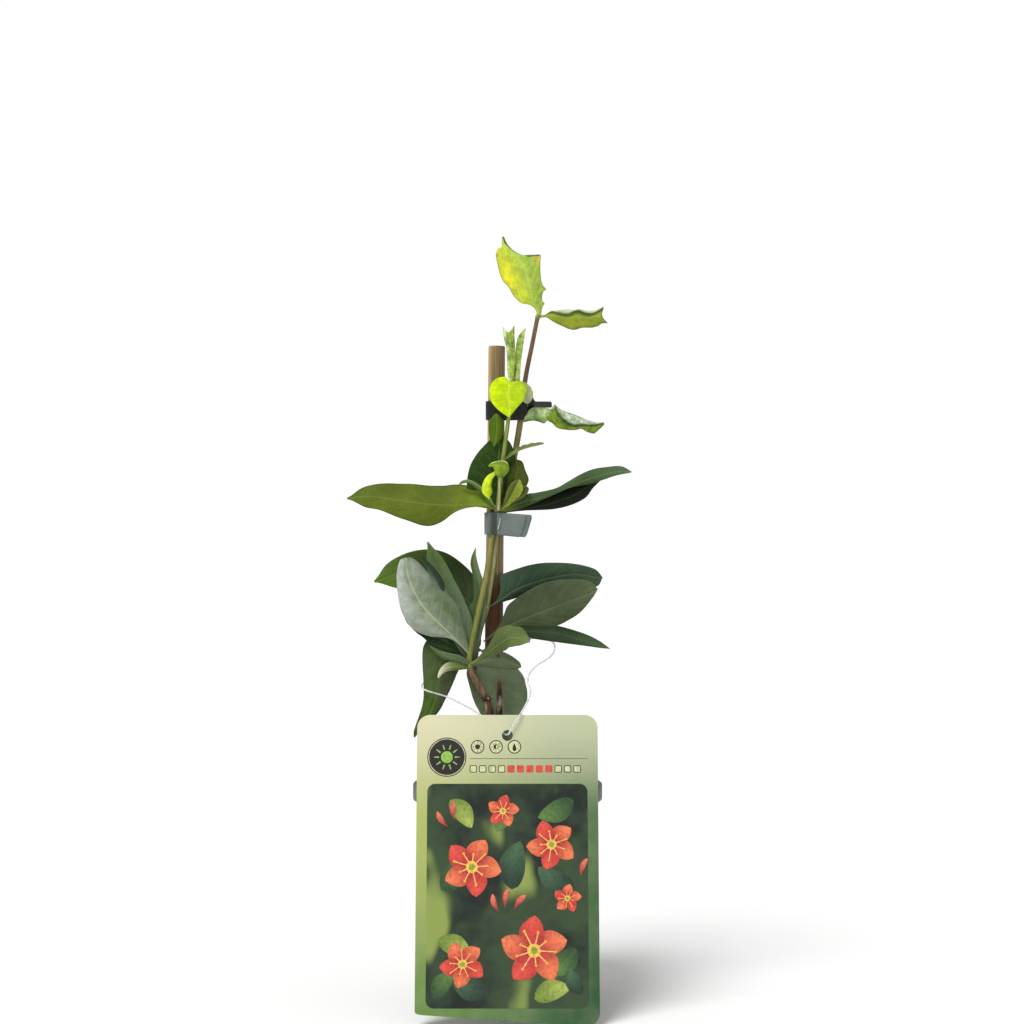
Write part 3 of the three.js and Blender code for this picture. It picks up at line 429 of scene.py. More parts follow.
def bamboo_material():
    """Tan over the upper ring, painted light on the left, red-brown below, fibres, stains and dark rings."""
    g = Graph("bamboo", Specular_IOR_Level=0.25)
    across, _, height = g.axes(g.place)
    fibre = g.noise(1500, 3, (1, 1, 0.02))
    stain = g.noise(90, 5, (1, 1, 0.35))
    tan = g.mix(g.band(fibre), paint(112, 94, 62), paint(148, 128, 88))
    # Below the upper ring the cane is its own red-brown, darkened further as painted shade under the leaves.
    red = g.mix(g.band(fibre), paint(62, 38, 14), paint(98, 64, 30))
    lean = float((CANE_TOP[0] - CANE_FOOT[0]) / (CANE_TOP[2] - CANE_FOOT[2]))
    middle = g.math("MULTIPLY_ADD", height, lean, float(CANE_FOOT[0] - lean * CANE_FOOT[2]) * MM)
    # Painted highlight: the cane's left flank is painted paler, as light falling on that side.
    painted_left_highlight = g.band(g.less(across, middle), -4.2 * MM, -1.6 * MM, 0.75, 0)
    tan = g.mix(painted_left_highlight, tan, paint(206, 180, 132))
    colour = g.mix(g.band(height, 192 * MM, 200 * MM), red, tan)
    colour = g.mix(g.band(stain, 0.52, 0.7, 0, 0.55), colour, paint(62, 44, 28))
    for ring in CANE_NODES:
        near = g.math("ABSOLUTE", g.less(height, ring * MM))
        colour = g.mix(g.band(near, 0.6 * MM, 3.2 * MM, 0.5, 0), colour, paint(60, 42, 30))
    return g.finish(colour, (fibre, 0.4, 0.58), fibre, 0.12)


def pot_material():
    """Recycled dark plastic: fine grain, scuffs, and dust that gathers low down."""
    g = Graph("pot_plastic", Specular_IOR_Level=0.45)
    height = g.axes(g.place)[2]
    grain = g.noise(1800, 3)
    cloud = g.noise(45, 4)
    scuff = g.band(g.noise(260, 6, (1, 1, 4)), 0.6, 0.68, 0, 0.5)
    dust = g.times(g.band(height, 0.0, 20 * MM, 0.5, 0), g.band(cloud, 0.4, 0.6))
    colour = g.mix(g.band(cloud), paint(74, 73, 68), paint(92, 90, 83))
    colour = g.mix(scuff, colour, paint(134, 131, 120))
    colour = g.mix(dust, colour, paint(126, 112, 92))
    return g.finish(colour, (cloud, 0.42, 0.6), g.add(grain, g.times(scuff, -0.8)), 0.08)


def soil_material():
    """Dark crumbs."""
    g = Graph("soil", Specular_IOR_Level=0.15)
    tint = g.attribute("tint", "Color")
    crumb = g.noise(420, 6)
    colour = g.mix(g.band(crumb, 0.35, 0.65), g.darker(tint, (0.45, 0.4, 0.36)), tint)
    return g.finish(colour, (crumb, 0.8, 1.0), crumb, 1.2)


def tape_material():
    """Soft stretched vinyl, hazy in places, with fine pull lines along it."""
    g = Graph("tape_vinyl", Specular_IOR_Level=0.3)
    tint = g.attribute("tint", "Color")
    pull = g.noise(900, 3, (0.15, 0.15, 1))
    haze = g.noise(140, 4)
    colour = g.mix(g.band(haze, to_high=0.5), tint, g.darker(tint, (1.5, 1.45, 1.4)))
    return g.finish(colour, (haze, 0.36, 0.55), pull, 0.1)


def steel_material():
    """Brushed bright wire."""
    g = Graph("staple_wire", Metallic=1.0)
    brushed = g.noise(2600, 3, (1, 1, 0.2))
    colour = g.mix(g.band(brushed), (0.5, 0.51, 0.53), (0.78, 0.79, 0.8))
    return g.finish(colour, (brushed, 0.2, 0.36), brushed, 0.03)


def nylon_material():
    """Clear, slightly milky nylon."""
    g = Graph("clear_nylon", Transmission_Weight=0.45, IOR=1.5, Specular_IOR_Level=0.6)
    streak = g.noise(700, 2)
    colour = g.mix(g.band(streak), (0.8, 0.8, 0.84), (0.97, 0.97, 0.98))
    return g.finish(colour, (streak, 0.12, 0.25), streak, 0.03)


def card_material():
    """Printed card: pale cream-green at the top left, full green at the lower right."""
    g = Graph("label_card", Specular_IOR_Level=0.5)
    across, _, up = g.axes(g.place)
    right = g.band(across, -42 * MM, 42 * MM)
    low = g.mix(right, paint(98, 134, 66), paint(38, 80, 46))
    middle = g.mix(right, paint(170, 180, 96), paint(72, 104, 62))
    top = g.mix(right, paint(218, 214, 178), paint(186, 194, 158))
    colour = g.mix(g.band(up, 0.0, 90 * MM), low, middle)
    colour = g.mix(g.band(up, 85 * MM, 137 * MM), colour, top)
    colour = g.mix(g.band(g.noise(60, 3), 0.35, 0.75, 0, 0.12), colour, paint(206, 210, 160))
    specks = g.band(g.cells(190, "F1"), 0.03, 0.07, 0.4, 0)
    colour = g.mix(g.times(specks, g.band(g.noise(75, 1), 0.6, 0.66)), colour, paint(92, 88, 60))
    fibre = g.noise(1600, 2)
    return g.finish(colour, (fibre, 0.3, 0.42), fibre, 0.02)


def ink_material():
    """Printed ink in the colours painted on its points, with the soft mottling of a print."""
    g = Graph("label_ink", Specular_IOR_Level=0.5)
    tint = g.attribute("tint", "Color")
    mottle = g.noise(700, 4)
    colour = g.mix(g.band(mottle, 0.42, 0.66), tint, g.darker(tint, (0.72, 0.68, 0.66)))
    return g.finish(colour, (mottle, 0.26, 0.38), mottle, 0.01)


def panel_material():
    """The printed panel's ground: soft dark foliage with lighter, yellower blurs."""
    g = Graph("label_panel", Specular_IOR_Level=0.5)
    wide, fine = g.noise(38, 3), g.noise(110, 4)
    blur = g.band(g.noise(30, 2, (1.3, 1, 0.8)), 0.58, 0.7, 0, 0.85)
    colour = g.mix(g.band(wide, 0.36, 0.6), paint(24, 34, 28), paint(54, 74, 46))
    colour = g.mix(g.band(fine, 0.5, 0.72, 0, 0.7), colour, paint(44, 62, 44))
    colour = g.mix(blur, colour, paint(150, 168, 84))
    return g.finish(colour, (fine, 0.26, 0.36), fine, 0.01)


# ---------------------------------------------------------------- thread of the label

THREAD_DIAMETER = 0.8
THREAD_ROUTE = [
    (-2.6, -37.2, 127.8), (-0.6, -39, 126.8), (0.6, -41.2, 127.4), (2.6, -41.2, 131.2), (6.2, -39.4, 136.6),
    (9.6, -35.8, 142.6), (10.6, -32.4, 146.4), (9.4, -29, 150.4), (10.4, -25.6, 154), (14, -21, 157.4),
    (19.2, -15.6, 160.2), (22, -8, 163), (21.6, 0, 166.6), (15, 7, 168.4), (5, 10.4, 166.4),
    (-6.7, 10.8, 163.4), (-19, 8.8, 160.4), (-30, 3.6, 156), (-37.8, -4, 149.8), (-40.1, -11, 147.4),
    (-40.1, -15.6, 146.2), (-36.8, -18.9, 144.9), (-28.6, -20.4, 142.6), (-22, -24.6, 140),
    (-16, -29, 137.2), (-11, -32.8, 134.2), (-6.4, -35.8, 130.8), (-3.4, -37, 128.2)
]
KNOT = {"centre": (-3, -37, 128), "length": 1.5, "radius": 0.55, "turns": 3.5, "thread": 0.36}


def thread_knot(nylon):
    """The small wound knot that closes the thread."""
    share = np.linspace(0, 1, 90)
    around = 2 * math.pi * KNOT["turns"] * share
    wound = np.stack([KNOT["length"] * (share - 0.5), KNOT["radius"] * np.cos(around),
                      KNOT["radius"] * np.sin(around)], axis=1)
    knot = Shell()
    tube(knot, wound + np.array(KNOT["centre"]), KNOT["thread"], (0.9, 0.9, 0.92), 10)
    return knot.made("thread_knot", nylon, "clear_nylon")


def label_thread():
    """The clear thread as one curve with its knot."""
    line = evenly(THREAD_ROUTE, 170)
    curve = bpy.data.curves.new("label_thread", "CURVE")
    curve.dimensions = "3D"
    curve.bevel_depth = THREAD_DIAMETER / 2 * MM
    curve.bevel_resolution = 3
    curve.use_fill_caps = True
    spline = curve.splines.new("POLY")
    spline.points.add(len(line) - 1)
    for point, place in zip(spline.points, line):
        point.co = (*(place * MM), 1)
    spline.use_smooth = True
    nylon = nylon_material()
    curve.materials.append(nylon)
    thread = placed(linked("label_thread_clear", curve), ["label_thread"])
    knot = thread_knot(nylon)


label_thread()

# ---------------------------------------------------------------- pot and soil

POT = {"height": 100, "rim": 45, "drop": 7.5, "lip": 2.6, "wall": 0.9, "base": 32.5, "foot": 1.6,
       "step": 0.25}
DRAINS = {"count": 6, "radius": 3, "circle": 19}
WALL_TOP = POT["height"] - POT["wall"]


def wall_at(height):
    """The radius of the pot's wall, outside."""
    return POT["base"] + (POT["rim"] - POT["lip"] - POT["base"]) * height / WALL_TOP


def nursery_pot():
    """Its profile runs from the underside up the wall, over a moulded step, the rim and down the inside."""
    h, rim, drop, wall, base, foot = (POT[k] for k in ("height", "rim", "drop", "wall", "base", "foot"))
    floor, skirt = foot + wall, h - drop
    profile = [(0, 0.02), (8.4, 0), (9, 0.2), (10.1, foot), (base - 5.2, foot), (base - 4.2, 0.2)]
    profile += [(base - 3.8, 0), (base - 0.8, 0), (base - 0.25, 0.25), (base, 0.8)]
    profile += [(wall_at(z), z) for z in np.linspace(4, skirt - 6, 26)]
    profile += [(wall_at(z) + POT["step"], z) for z in (skirt - 5.4, skirt - 5, skirt)]
    profile += [(wall_at(WALL_TOP - wall), WALL_TOP - wall - 0.4), (rim - wall - 0.3, WALL_TOP - wall)]
    profile += [(rim - wall, WALL_TOP - wall - 0.3), (rim - wall, skirt + 0.2),
                (rim - wall + 0.15, skirt - 0.05)]
    profile += [(rim - 0.45, skirt - 0.2), (rim - 0.12, skirt), (rim, skirt + 0.4), (rim, h - 0.9)]
    profile += [(rim - 0.2, h - 0.3), (rim - 0.7, h), (wall_at(WALL_TOP) - wall + 0.5, h)]
    profile += [(wall_at(WALL_TOP) - wall, h - 0.5)]
    profile += [(wall_at(z) - wall, z) for z in (80, 60, 40, 20, floor + 2.5)]
    profile += [(base - 2.4, floor + 0.5), (base - 3.6, floor), (0, floor)]
    shell = Shell()
    lathe(shell, profile, 144, paint(84, 82, 76))
    pot = shell.made("pot_shell", pot_material(), "pot_plastic", ["nursery_pot"])
    drains = Shell()
    for turn in turns(DRAINS["count"], 0.5):
        centre = (DRAINS["circle"] * math.cos(turn), DRAINS["circle"] * math.sin(turn))
        tube(drains, [(*centre, z) for z in (-3, 1, 5.5)], DRAINS["radius"], (0, 0, 0), 28)
    cut_out(pot, drains)


SOIL_TOP = 89
SOIL_RINGS = 44
CHIPS = 900
CHIP_KINDS = (  # colour, length and thickness of bark, fibre, peat and perlite
    ((70, 48, 34), 3.2, 0.7), ((110, 78, 50), 2.6, 0.9), ((40, 30, 25), 2.4, 1.3),
    ((214, 210, 198), 1.3, 1.0))
CHIP_SHARES = (4, 3, 4, 1)
KEPT_CLEAR = ((-7.3, 4, 6.4), (-5, -10, 4.4))  # x, y and radius round the cane and the woody base


def crumbs(x, y):
    """How far the soil stands over its middle level."""
    big = np.sin(0.55 * x + 1.3) * np.cos(0.47 * y) + 0.6 * np.sin(0.31 * x - 0.83 * y)
    small = np.sin(2.1 * x + 0.7 * y) * np.sin(1.7 * y - 0.9 * x)
    small = small + 0.6 * np.sin(3.7 * x) * np.sin(3.1 * y + 1)
    return 1.1 * big + 0.35 * small


def soil_chip(shell, reach):
    """One chip at a random place on the soil, or none where the place is taken."""
    tint, long, thick = rng.choices(CHIP_KINDS, CHIP_SHARES)[0]
    radius, turn = (reach - 2) * math.sqrt(rng.random()), rng.uniform(0, 2 * math.pi)
    x, y = radius * math.cos(turn), radius * math.sin(turn)
    if any(math.hypot(x - cx, y - cy) < clear for cx, cy, clear in KEPT_CLEAR):
        return
    cube = np.array([(x, y, z) for x in (-1, 1) for y in (-1, 1) for z in (-1, 1)], float)
    sides = [(0, 1, 3, 2), (4, 6, 7, 5), (0, 4, 5, 1), (2, 3, 7, 6), (0, 2, 6, 4), (1, 5, 7, 3)]
    size = [long * rng.uniform(0.3, 1), thick * rng.uniform(0.4, 1), thick * rng.uniform(0.25, 0.7)]
    jitter = np.array([[rng.uniform(0.6, 1.1) for _ in range(3)] for _ in cube])
    ahead = unit((rng.uniform(-1, 1), rng.uniform(-1, 1), rng.uniform(-0.4, 0.4)))
    sideways = unit(np.cross((0.1, 0.2, 1), ahead))
    axes = np.stack([ahead, sideways, np.cross(ahead, sideways)])
    place = np.array([x, y, SOIL_TOP + crumbs(x, y) + rng.uniform(-0.2, 0.5)])
    shell.add((cube * jitter * np.array(size) / 2) @ axes + place, sides,
              paint(*tint) * rng.uniform(0.7, 1.2))


def potting_soil():
    """A crumbly surface inside the pot, with chips strewn over it."""
    reach = wall_at(SOIL_TOP) - POT["wall"] - 0.3
    floor = POT["foot"] + POT["wall"] + 0.35

    def crumbly(points):
        inner = smooth(np.hypot(points[:, 0], points[:, 1]), reach + 0.2, reach - 3)
        rise = crumbs(points[:, 0], points[:, 1]) * (points[:, 2] > SOIL_TOP - 0.01)
        points[:, 2] += rise * (0.3 + 0.7 * inner)
        return points

    profile = [(0, floor), (POT["base"] - 3.8, floor), (wall_at(floor + 3) - 1.5, floor + 3)]
    profile += [(wall_at(z) - 1.4, z) for z in (30, 60, SOIL_TOP - 3)]
    profile += [(reach * ring / SOIL_RINGS, SOIL_TOP) for ring in range(SOIL_RINGS, -1, -1)]
    shell = Shell()
    lathe(shell, profile, 120, paint(58, 42, 32), crumbly)
    for _ in range(CHIPS):
        soil_chip(shell, reach)
    shell.made("soil_crumbs", soil_material(), "soil", ["potting_soil"])


nursery_pot()
potting_soil()

# ---------------------------------------------------------------- cane

CANE_SWELL, CANE_GROOVE = 0.45, 0.18
CANE_BORE, CANE_BORE_DEPTH = 1.5, 30
NODE_STATIONS = (-3.4, -2.4, -1.6, -1.1, -0.7, -0.3, 0.1, 0.5, 0.9, 1.4, 2.2, 3.2, 4.4)


def cane_at(height):
    """The middle and the radius of the cane at a height."""
    share = (height - CANE_FOOT[2]) / (CANE_TOP[2] - CANE_FOOT[2])
    place = CANE_FOOT + (CANE_TOP - CANE_FOOT) * share
    return place, CANE_RADII[0] + (CANE_RADII[1] - CANE_RADII[0]) * share


def bamboo_cane():
    """Upright from its foot first, then leaned: swollen rings over a groove, a worn top edge and a bore."""
    length = np.linalg.norm(CANE_TOP - CANE_FOOT)
    nodes = [z - CANE_FOOT[2] for z in CANE_NODES]
    heights = {0.0, 0.25, 0.6}
    heights.update(np.linspace(3, length - 3, 70).tolist())
    heights.update(node + offset for node in nodes for offset in NODE_STATIONS)
    profile = [(0, 0)]
    for h in sorted(heights):
        radius = cane_at(h + CANE_FOOT[2])[1] - 0.4 * (1 - smooth(h, 0, 0.6))
        for node in nodes:
            radius += CANE_SWELL * math.exp(-((h - node) / 1.15) ** 2)
            radius -= CANE_GROOVE * math.exp(-((h - node + 1.7) / 0.5) ** 2)
        profile.append((radius, h))
    top = cane_at(length + CANE_FOOT[2])[1]
    profile += [(top, length - 0.7), (top - 0.12, length - 0.3), (top - 0.4, length)]
    profile += [(CANE_BORE + 0.5, length - 0.15), (CANE_BORE, length - 0.6)]
    profile += [(CANE_BORE, length - CANE_BORE_DEPTH), (0, length - CANE_BORE_DEPTH)]
    lean = Vector((0, 0, 1)).rotation_difference(Vector(CANE_TOP - CANE_FOOT)).to_matrix()

    def leaned(points):
        turn = np.arctan2(points[:, 1], points[:, 0])
        uneven = (1 + 0.014 * np.sin(2 * turn + points[:, 2] / 60)
                  + 0.008 * np.sin(5 * turn - points[:, 2] / 25))
        points[:, :2] *= uneven[:, None]
        return points @ np.array(lean).T + CANE_FOOT

    shell = Shell()
    lathe(shell, profile, 40, paint(160, 140, 110), leaned)
    shell.made("cane", bamboo_material(), "bamboo", ["bamboo_cane"])


bamboo_cane()

# ---------------------------------------------------------------- the vine's stems

STEMS = {  # a route, and radii at equal steps of it
    "woody": ([(-4.5, -10, 62), (-5, -10, 86), (-6, -9.8, 112), (-8.2, -9.4, 132), (-9.9, -9, 140.5),
               (-13.5, -8.5, 146.7), (-15.5, -8.2, 150), (-17, -8, 153.2), (-17.4, -8, 155.2)],
              (2.1, 2.4, 2.3, 2.0, 1.8, 1.55, 1.5)),
    "stub": ([(-6, -9.8, 108), (-4.4, -9.9, 120), (-3.8, -10, 134), (-4, -10, 149.6)],
             (1.6, 1.5, 1.35, 1.1)),
    "front": ([(-18.2, -8, 154.4), (-17.9, -7.9, 162), (-15.2, -7.6, 175), (-13.5, -7.2, 183),
               (-9.6, -5.6, 201), (-7.5, -4.6, 218), (-4.7, -6.2, 230.6), (-2.2, -9.3, 253),
               (0.7, -10.4, 274.5), (2.6, -10.5, 292)],
              (1.5, 1.4, 1.4, 1.3, 1.05, 0.95, 0.9)),
    "rear": ([(-16, -6, 154.6), (-15.2, -4.6, 160), (-14, -4, 168), (-11.7, -3.4, 177), (-9.8, -3.2, 183.7),
              (-7.7, -2.9, 197.5), (-5, -2.8, 218), (-1.6, -2.4, 232), (0.8, -1.2, 243), (3.8, -0.6, 258),
              (5.9, 0, 271), (8.3, 0.5, 291), (11.2, 1, 306), (14.4, 1.5, 322)],
             (1.25, 1.15, 1.15, 1.1, 1.1, 1.2, 1.45, 1.2, 1.05, 1.0)),
    "centre": ([(-4.2, -9.6, 229.4), (-4.1, -9.8, 233), (-3.9, -10.6, 240), (-3.6, -11.6, 247.6)],
               (0.85, 0.8, 0.75, 0.9)),
}
STEM_TINTS = {  # colours at equal steps of a stem
    "woody": [(78, 52, 42)] * 6 + [(140, 110, 88)] * 2,
    "stub": [(60, 48, 38)] * 6 + [(64, 52, 42)] * 2 + [(140, 112, 88)],
    "front": [(142, 150, 74), (130, 136, 60), (152, 144, 84), (156, 158, 84), (144, 158, 70),
              (150, 170, 74)],
    # The rear stem's third colour is its pale olive, lightened by a painted highlight.
    "rear": [(80, 92, 46), (108, 116, 56), (184, 180, 118), (150, 142, 86), (140, 130, 70), (136, 126, 70),
             (120, 86, 66), (124, 100, 62)],
    "centre": [(176, 178, 120), (200, 206, 130)],
}
STEM_SIDES, BARK_SIDES = 20, 26
PAINTED_FLANK_SHADE = (0.42, 0.3, 0.45)  # painted shade: how much darker a green stem is at its two sides


def stem_course(key, steps):
    """A stem's line of points, with the radius and the colour at each."""
    points, radii = STEMS[key]
    share = np.linspace(0, 1, steps + 1)
    tints = STEM_TINTS[key]
    stops = list(zip(np.linspace(0, 1, len(tints)), tints))
    return evenly(points, steps), stations(radii, share), ramp(stops, share)


def green_stem(shell, key, steps):
    """A ridged green stem, with painted shade darkening it towards its left and right sides."""
    line, radius, colours = stem_course(key, steps)
    first = len(shell.points)
    tube(shell, line, radius, colours, STEM_SIDES,
         lambda i, turn: 1 + 0.03 * math.cos(4 * turn) + 0.02 * math.sin(7 * turn + i * 0.3))
    outward = unit(np.array(shell.points[first:]) - np.repeat(line, STEM_SIDES, axis=0))
    tints = np.array(shell.tints[first:])
    # Painted shade on the stem's left and right sides.
    tints[:, :3] *= 1 - np.outer(smooth(np.abs(outward[:, 0]), 0.35, 1), PAINTED_FLANK_SHADE)
    shell.tints[first:] = tints.tolist()


def woody_base():
    """The brown foot of the vine and its dead stub, with a swelling where each branches off."""
    shell = Shell()
    for key, steps in (("woody", 150), ("stub", 70)):
        line, radius, colours = stem_course(key, steps)
        phase = rng.uniform(0, 6)

        def barky(i, turn):
            ridge = 0.05 * math.sin(5 * turn + i * 0.11 + phase) + 0.035 * math.sin(9 * turn - i * 0.17)
            return 1 + ridge + 0.03 * math.sin(i * 0.8 + 3 * turn) + 0.02 * math.sin(i * 1.9 + phase)

        tube(shell, line, radius, colours, BARK_SIDES, barky)
    for place in ((-10, -9, 140.6), (-6.6, -9.8, 119)):
        ball(shell, place, (2.4, 2.4, 1.6), paint(80, 54, 42))
    shell.made("bark_stem", bark_material(), "bark", ["woody_base"])


woody_base()

# ---------------------------------------------------------------- leaves given by a midrib

OVAL_RISE, OVAL_FALL = 0.75, 0.6
STALK_HALF, TIP_HALF = 0.75, 0.3
LEAF_THICKNESS = 0.5
LEAF_ROWS, LEAF_COLUMNS = 52, 24
RIPPLES = 2.5  # waves of a margin along a leaf
QUILT = 0.22  # how far a leaf bulges between its side veins
GROOVE_HALF = 0.55  # half width of the groove over a midrib


def oval(share):
    widest = OVAL_RISE / (OVAL_RISE + OVAL_FALL)
    share = np.clip(share, 0, 1)
    return (share / widest) ** OVAL_RISE * ((1 - share) / (1 - widest)) ** OVAL_FALL


def half_width(leaf, outline, share):
    """How wide one half of a leaf is at each share of its midrib, and the shares of the blade alone."""
    stalk = leaf.get("stalk", 0.06)
    along = (share - stalk) / (1 - stalk)
    blade = stations(leaf[outline], along) if outline in leaf else 0.5 * leaf["width"] * oval(along)
    least = STALK_HALF * (1 - along) + TIP_HALF * along
    return np.where(along <= 0, STALK_HALF, np.maximum(blade, least)), np.clip(along, 0, 1)


def quilted(along, out, half, phase=0):
    """The soft bulges between a leaf's side veins, 0 to 1."""
    vein = VEIN_PAIRS * (along - VEIN_SWEEP * out ** VEIN_BEND) + phase
    inside = smooth(out, 0.05, 0.3) * smooth(1 - out, 0.02, 0.3) * np.minimum(1, half / 6)
    return (0.5 - 0.5 * np.cos(2 * math.pi * (vein - 0.5))) * inside


def leaf_tints(look, along, v, side):
    """The painted colour of one side of a leaf at each point, with how clearly its veins show."""
    def towards(tint, key, where):
        return blended(tint, paint(*look[key]), where) if key in look else tint

    tint = np.broadcast_to(paint(*look[side]), along.shape + (3,))
    tint = towards(tint, "tip_" + side, smooth(along, 0.45, 1.0))
    tint = towards(tint, "plus_" + side, smooth(v, -0.15, 0.75))
    tint = towards(tint, "minus_" + side, smooth(-v, -0.15, 0.75))
    foot = paint(*look.get("foot", look[side]))
    tint = blended(tint, foot, 1 - smooth(along, 0.0, look.get("foot_reach", 0.12)))
    if "rim" in look:
        tint = towards(tint, "rim", 0.85 * smooth(np.abs(v), look["rim_from"], 1))
    clear = np.full(along.shape + (1,), look["veins"] if side == "upper" else 0.6)
    return np.concatenate([tint, clear], axis=2)


def leaf_blade(shell, leaf, phase):
    """One leaf as a thin closed sheet with a sunk midrib and soft swellings between its veins."""
    share = np.linspace(0, 1, LEAF_ROWS + 1)
    v = np.linspace(-1, 1, LEAF_COLUMNS + 1)
    centre = on_line(leaf["midrib"], share)
    tangent = unit(on_line(leaf["midrib"], share + 1e-4) - on_line(leaf["midrib"], share - 1e-4))
    face = blended(leaf["face"], leaf.get("face_tip", leaf["face"]), share)
    face = unit(face - tangent * (face * tangent).sum(1, keepdims=True))
    sideways = np.cross(tangent, face)
    fold = math.radians(leaf.get("fold", 0))
    plus, along = half_width(leaf, "plus", share)
    minus, _ = half_width(leaf, "minus", share)
    half = np.where(v > 0, plus[:, None], minus[:, None])
    half[:, LEAF_COLUMNS // 2] = (plus + minus) / 2
    down = share[:, None]
    out, vs = np.abs(v) + 0 * down, v + 0 * down
    alongs = along[:, None] + 0 * v
    ripple = leaf.get("wave", 0) * np.sin(2 * math.pi * (RIPPLES * down + 0.37 * np.sign(v)) + phase)
    lift = out * half * math.sin(fold) + (leaf.get("cup", 0) + ripple) * v ** 2 * np.minimum(1, half / 5)
    lift += QUILT * quilted(alongs, out, half, phase)
    lift -= 0.3 * np.exp(-(v * half / GROOVE_HALF) ** 2) * smooth(alongs, 0.0, 0.1)
    lift += 0.2 * np.sin(2 * math.pi * (6.3 * down + 0.5 * v) + 2 * phase) * v ** 4 * np.minimum(1, half / 4)
    aside = v * half * math.cos(fold)
    grid = centre[:, None] + sideways[:, None] * aside[..., None] + face[:, None] * lift[..., None]
    up = unit(np.cross(np.gradient(grid, axis=1), np.gradient(grid, axis=0)))
    thick = LEAF_THICKNESS / 2 * (1 - 0.55 * v ** 6)[None, :, None]
    look = LOOKS[leaf["look"]]
    slab(shell, grid + up * thick, grid - up * thick, leaf_tints(look, alongs, vs, "upper"),
         leaf_tints(look, alongs, vs, "under"), np.stack([alongs, out, out * half], axis=2))


# A leaf's body colours, and where it has them those of its tip, right and left half, foot and rim, with how
# clearly its veins show above.
LOOKS = {
    "upright": dict(upper=(104, 122, 92), under=(132, 144, 112), tip_upper=(90, 114, 62), foot=(74, 82, 52),
                    foot_reach=0.5, veins=0.2),
    "deep": dict(upper=(34, 56, 30), under=(60, 72, 50), veins=0.3),
    "front_right": dict(upper=(78, 92, 48), under=(140, 150, 120), minus_upper=(92, 108, 60),
                        tip_upper=(104, 122, 58), foot=(110, 118, 62), veins=0.5),
    # long_left's bright foot colour is painted light: a glow of light through the base of the leaf.
    "long_left": dict(upper=(94, 110, 24), under=(134, 148, 104), plus_upper=(88, 104, 22),
                      tip_upper=(88, 106, 24), foot=(122, 144, 34), foot_reach=0.42, veins=0.28,
                      rim=(58, 74, 20), rim_from=0.93),
    "broad_dark": dict(upper=(40, 66, 12), under=(110, 124, 96), plus_upper=(46, 74, 14), veins=0.4),
    "olive": dict(upper=(74, 84, 26), under=(92, 100, 50), veins=0.2),
    "narrow": dict(upper=(110, 126, 44), under=(128, 140, 76), veins=0.2),
    "heart_partner": dict(upper=(176, 182, 134), under=(180, 186, 144), veins=0.3),
    "back": dict(upper=(70, 92, 40), under=(112, 126, 90), veins=0.35),
    "dark_left": dict(upper=(52, 68, 34), under=(96, 108, 80), tip_upper=(86, 116, 24), foot=(66, 82, 44),
                      veins=0.3),
}

# A row holds a leaf's midrib, from inside its stem to its tip, where its upper side looks, and its outline.
LOW_LEAVES = [
    dict(look="upright", midrib=[(-18.2, -7.6, 157), (-19.4, -7.9, 166), (-24.4, -9, 181), (-31.3, -11, 198),
         (-37.5, -12.5, 214.6)], face=(0.2, -0.95, 0.2), fold=8, wave=0.3, stalk=0.04,
         plus=(1, 4, 5.6, 6.2, 6, 5.2, 4, 0.4), minus=(1, 3.6, 5.6, 6.2, 6.2, 5.6, 4.4, 0.4)),
    dict(look="deep", midrib=[(-18.3, -8, 157.4), (-25.6, -9.4, 165.6), (-35.4, -10.5, 171.6),
         (-43.2, -11, 179), (-48.6, -11.5, 189)], face=(0.15, -0.75, 0.64), width=12.6, fold=8, wave=0.6),
    dict(look="front_right", midrib=[(-17.4, -9, 157), (-9.6, -14, 162.2), (-3.5, -18, 167.2),
         (2.6, -21, 170.2), (10.5, -22.5, 168.8)], face=(-0.2, -0.75, 0.62),
         plus=(0.8, 1.6, 3, 4.4, 5, 4.8, 3.8, 1), minus=(0.8, 2.5, 5.5, 8, 8.6, 7.6, 5.4, 1), cup=-0.6,
         wave=0.4),
]
LONG_PAIR = [
    dict(look="long_left", midrib=[(-4.9, -6.3, 230.3), (-11.7, -8, 232.2), (-26.4, -9.6, 232),
         (-36, -10.4, 232.4), (-50.6, -11, 234.2), (-65, -11, 236.2), (-75.6, -11, 235.2)],
         face=(0, -0.98, 0.2), face_tip=(0, -0.84, 0.54), plus=(1.2, 8.4, 11.4, 11, 11.3, 10.9, 8.9, 6, 0.4),
         minus=(1, 1, 2.2, 7.6, 10.4, 8.8, 6.2, 4.8, 0.4), fold=-16, wave=0.5, stalk=0.04),
    dict(look="broad_dark", midrib=[(-4.6, -5.6, 230.6), (-4.6, -4.3, 238), (-4.4, -4.1, 252),
         (-3.6, -4.1, 266.8)], face=(0, -1, 0.03), plus=(1.5, 9.5, 11, 10.6, 10, 9, 7.6, 5.4, 0.4),
         minus=(1.5, 13.2, 14.8, 14.8, 14.4, 13, 10, 5.6, 0.4), wave=0.25, stalk=0.05),
    dict(look="olive", midrib=[(-4.1, -6.6, 230.6), (3.4, -8.1, 236.6), (9.9, -8.6, 240)],
         face=(-0.2, -0.9, 0.4), width=8, fold=12),
    dict(look="back", midrib=[(-5.6, -5.8, 230.4), (-11.8, -3, 231), (-18, 5, 233), (-25, 17, 235),
         (-31, 28, 233)], face=(-0.1, 0, 1), width=15, fold=10, wave=0.6, stalk=0.26),
]
TOP_LEAVES = [
    dict(look="narrow", midrib=[(-2.2, -9.4, 253), (6, -10.6, 258.2), (17, -11.4, 261.2)], face=(0, -0.1, 1),
         width=6, fold=22),
    dict(look="heart_partner", midrib=[(2.8, -10.6, 290), (7.2, -9.8, 286), (10, -9.4, 280)],
         face=(0.5, -0.8, 0.35), width=9, fold=10),
]
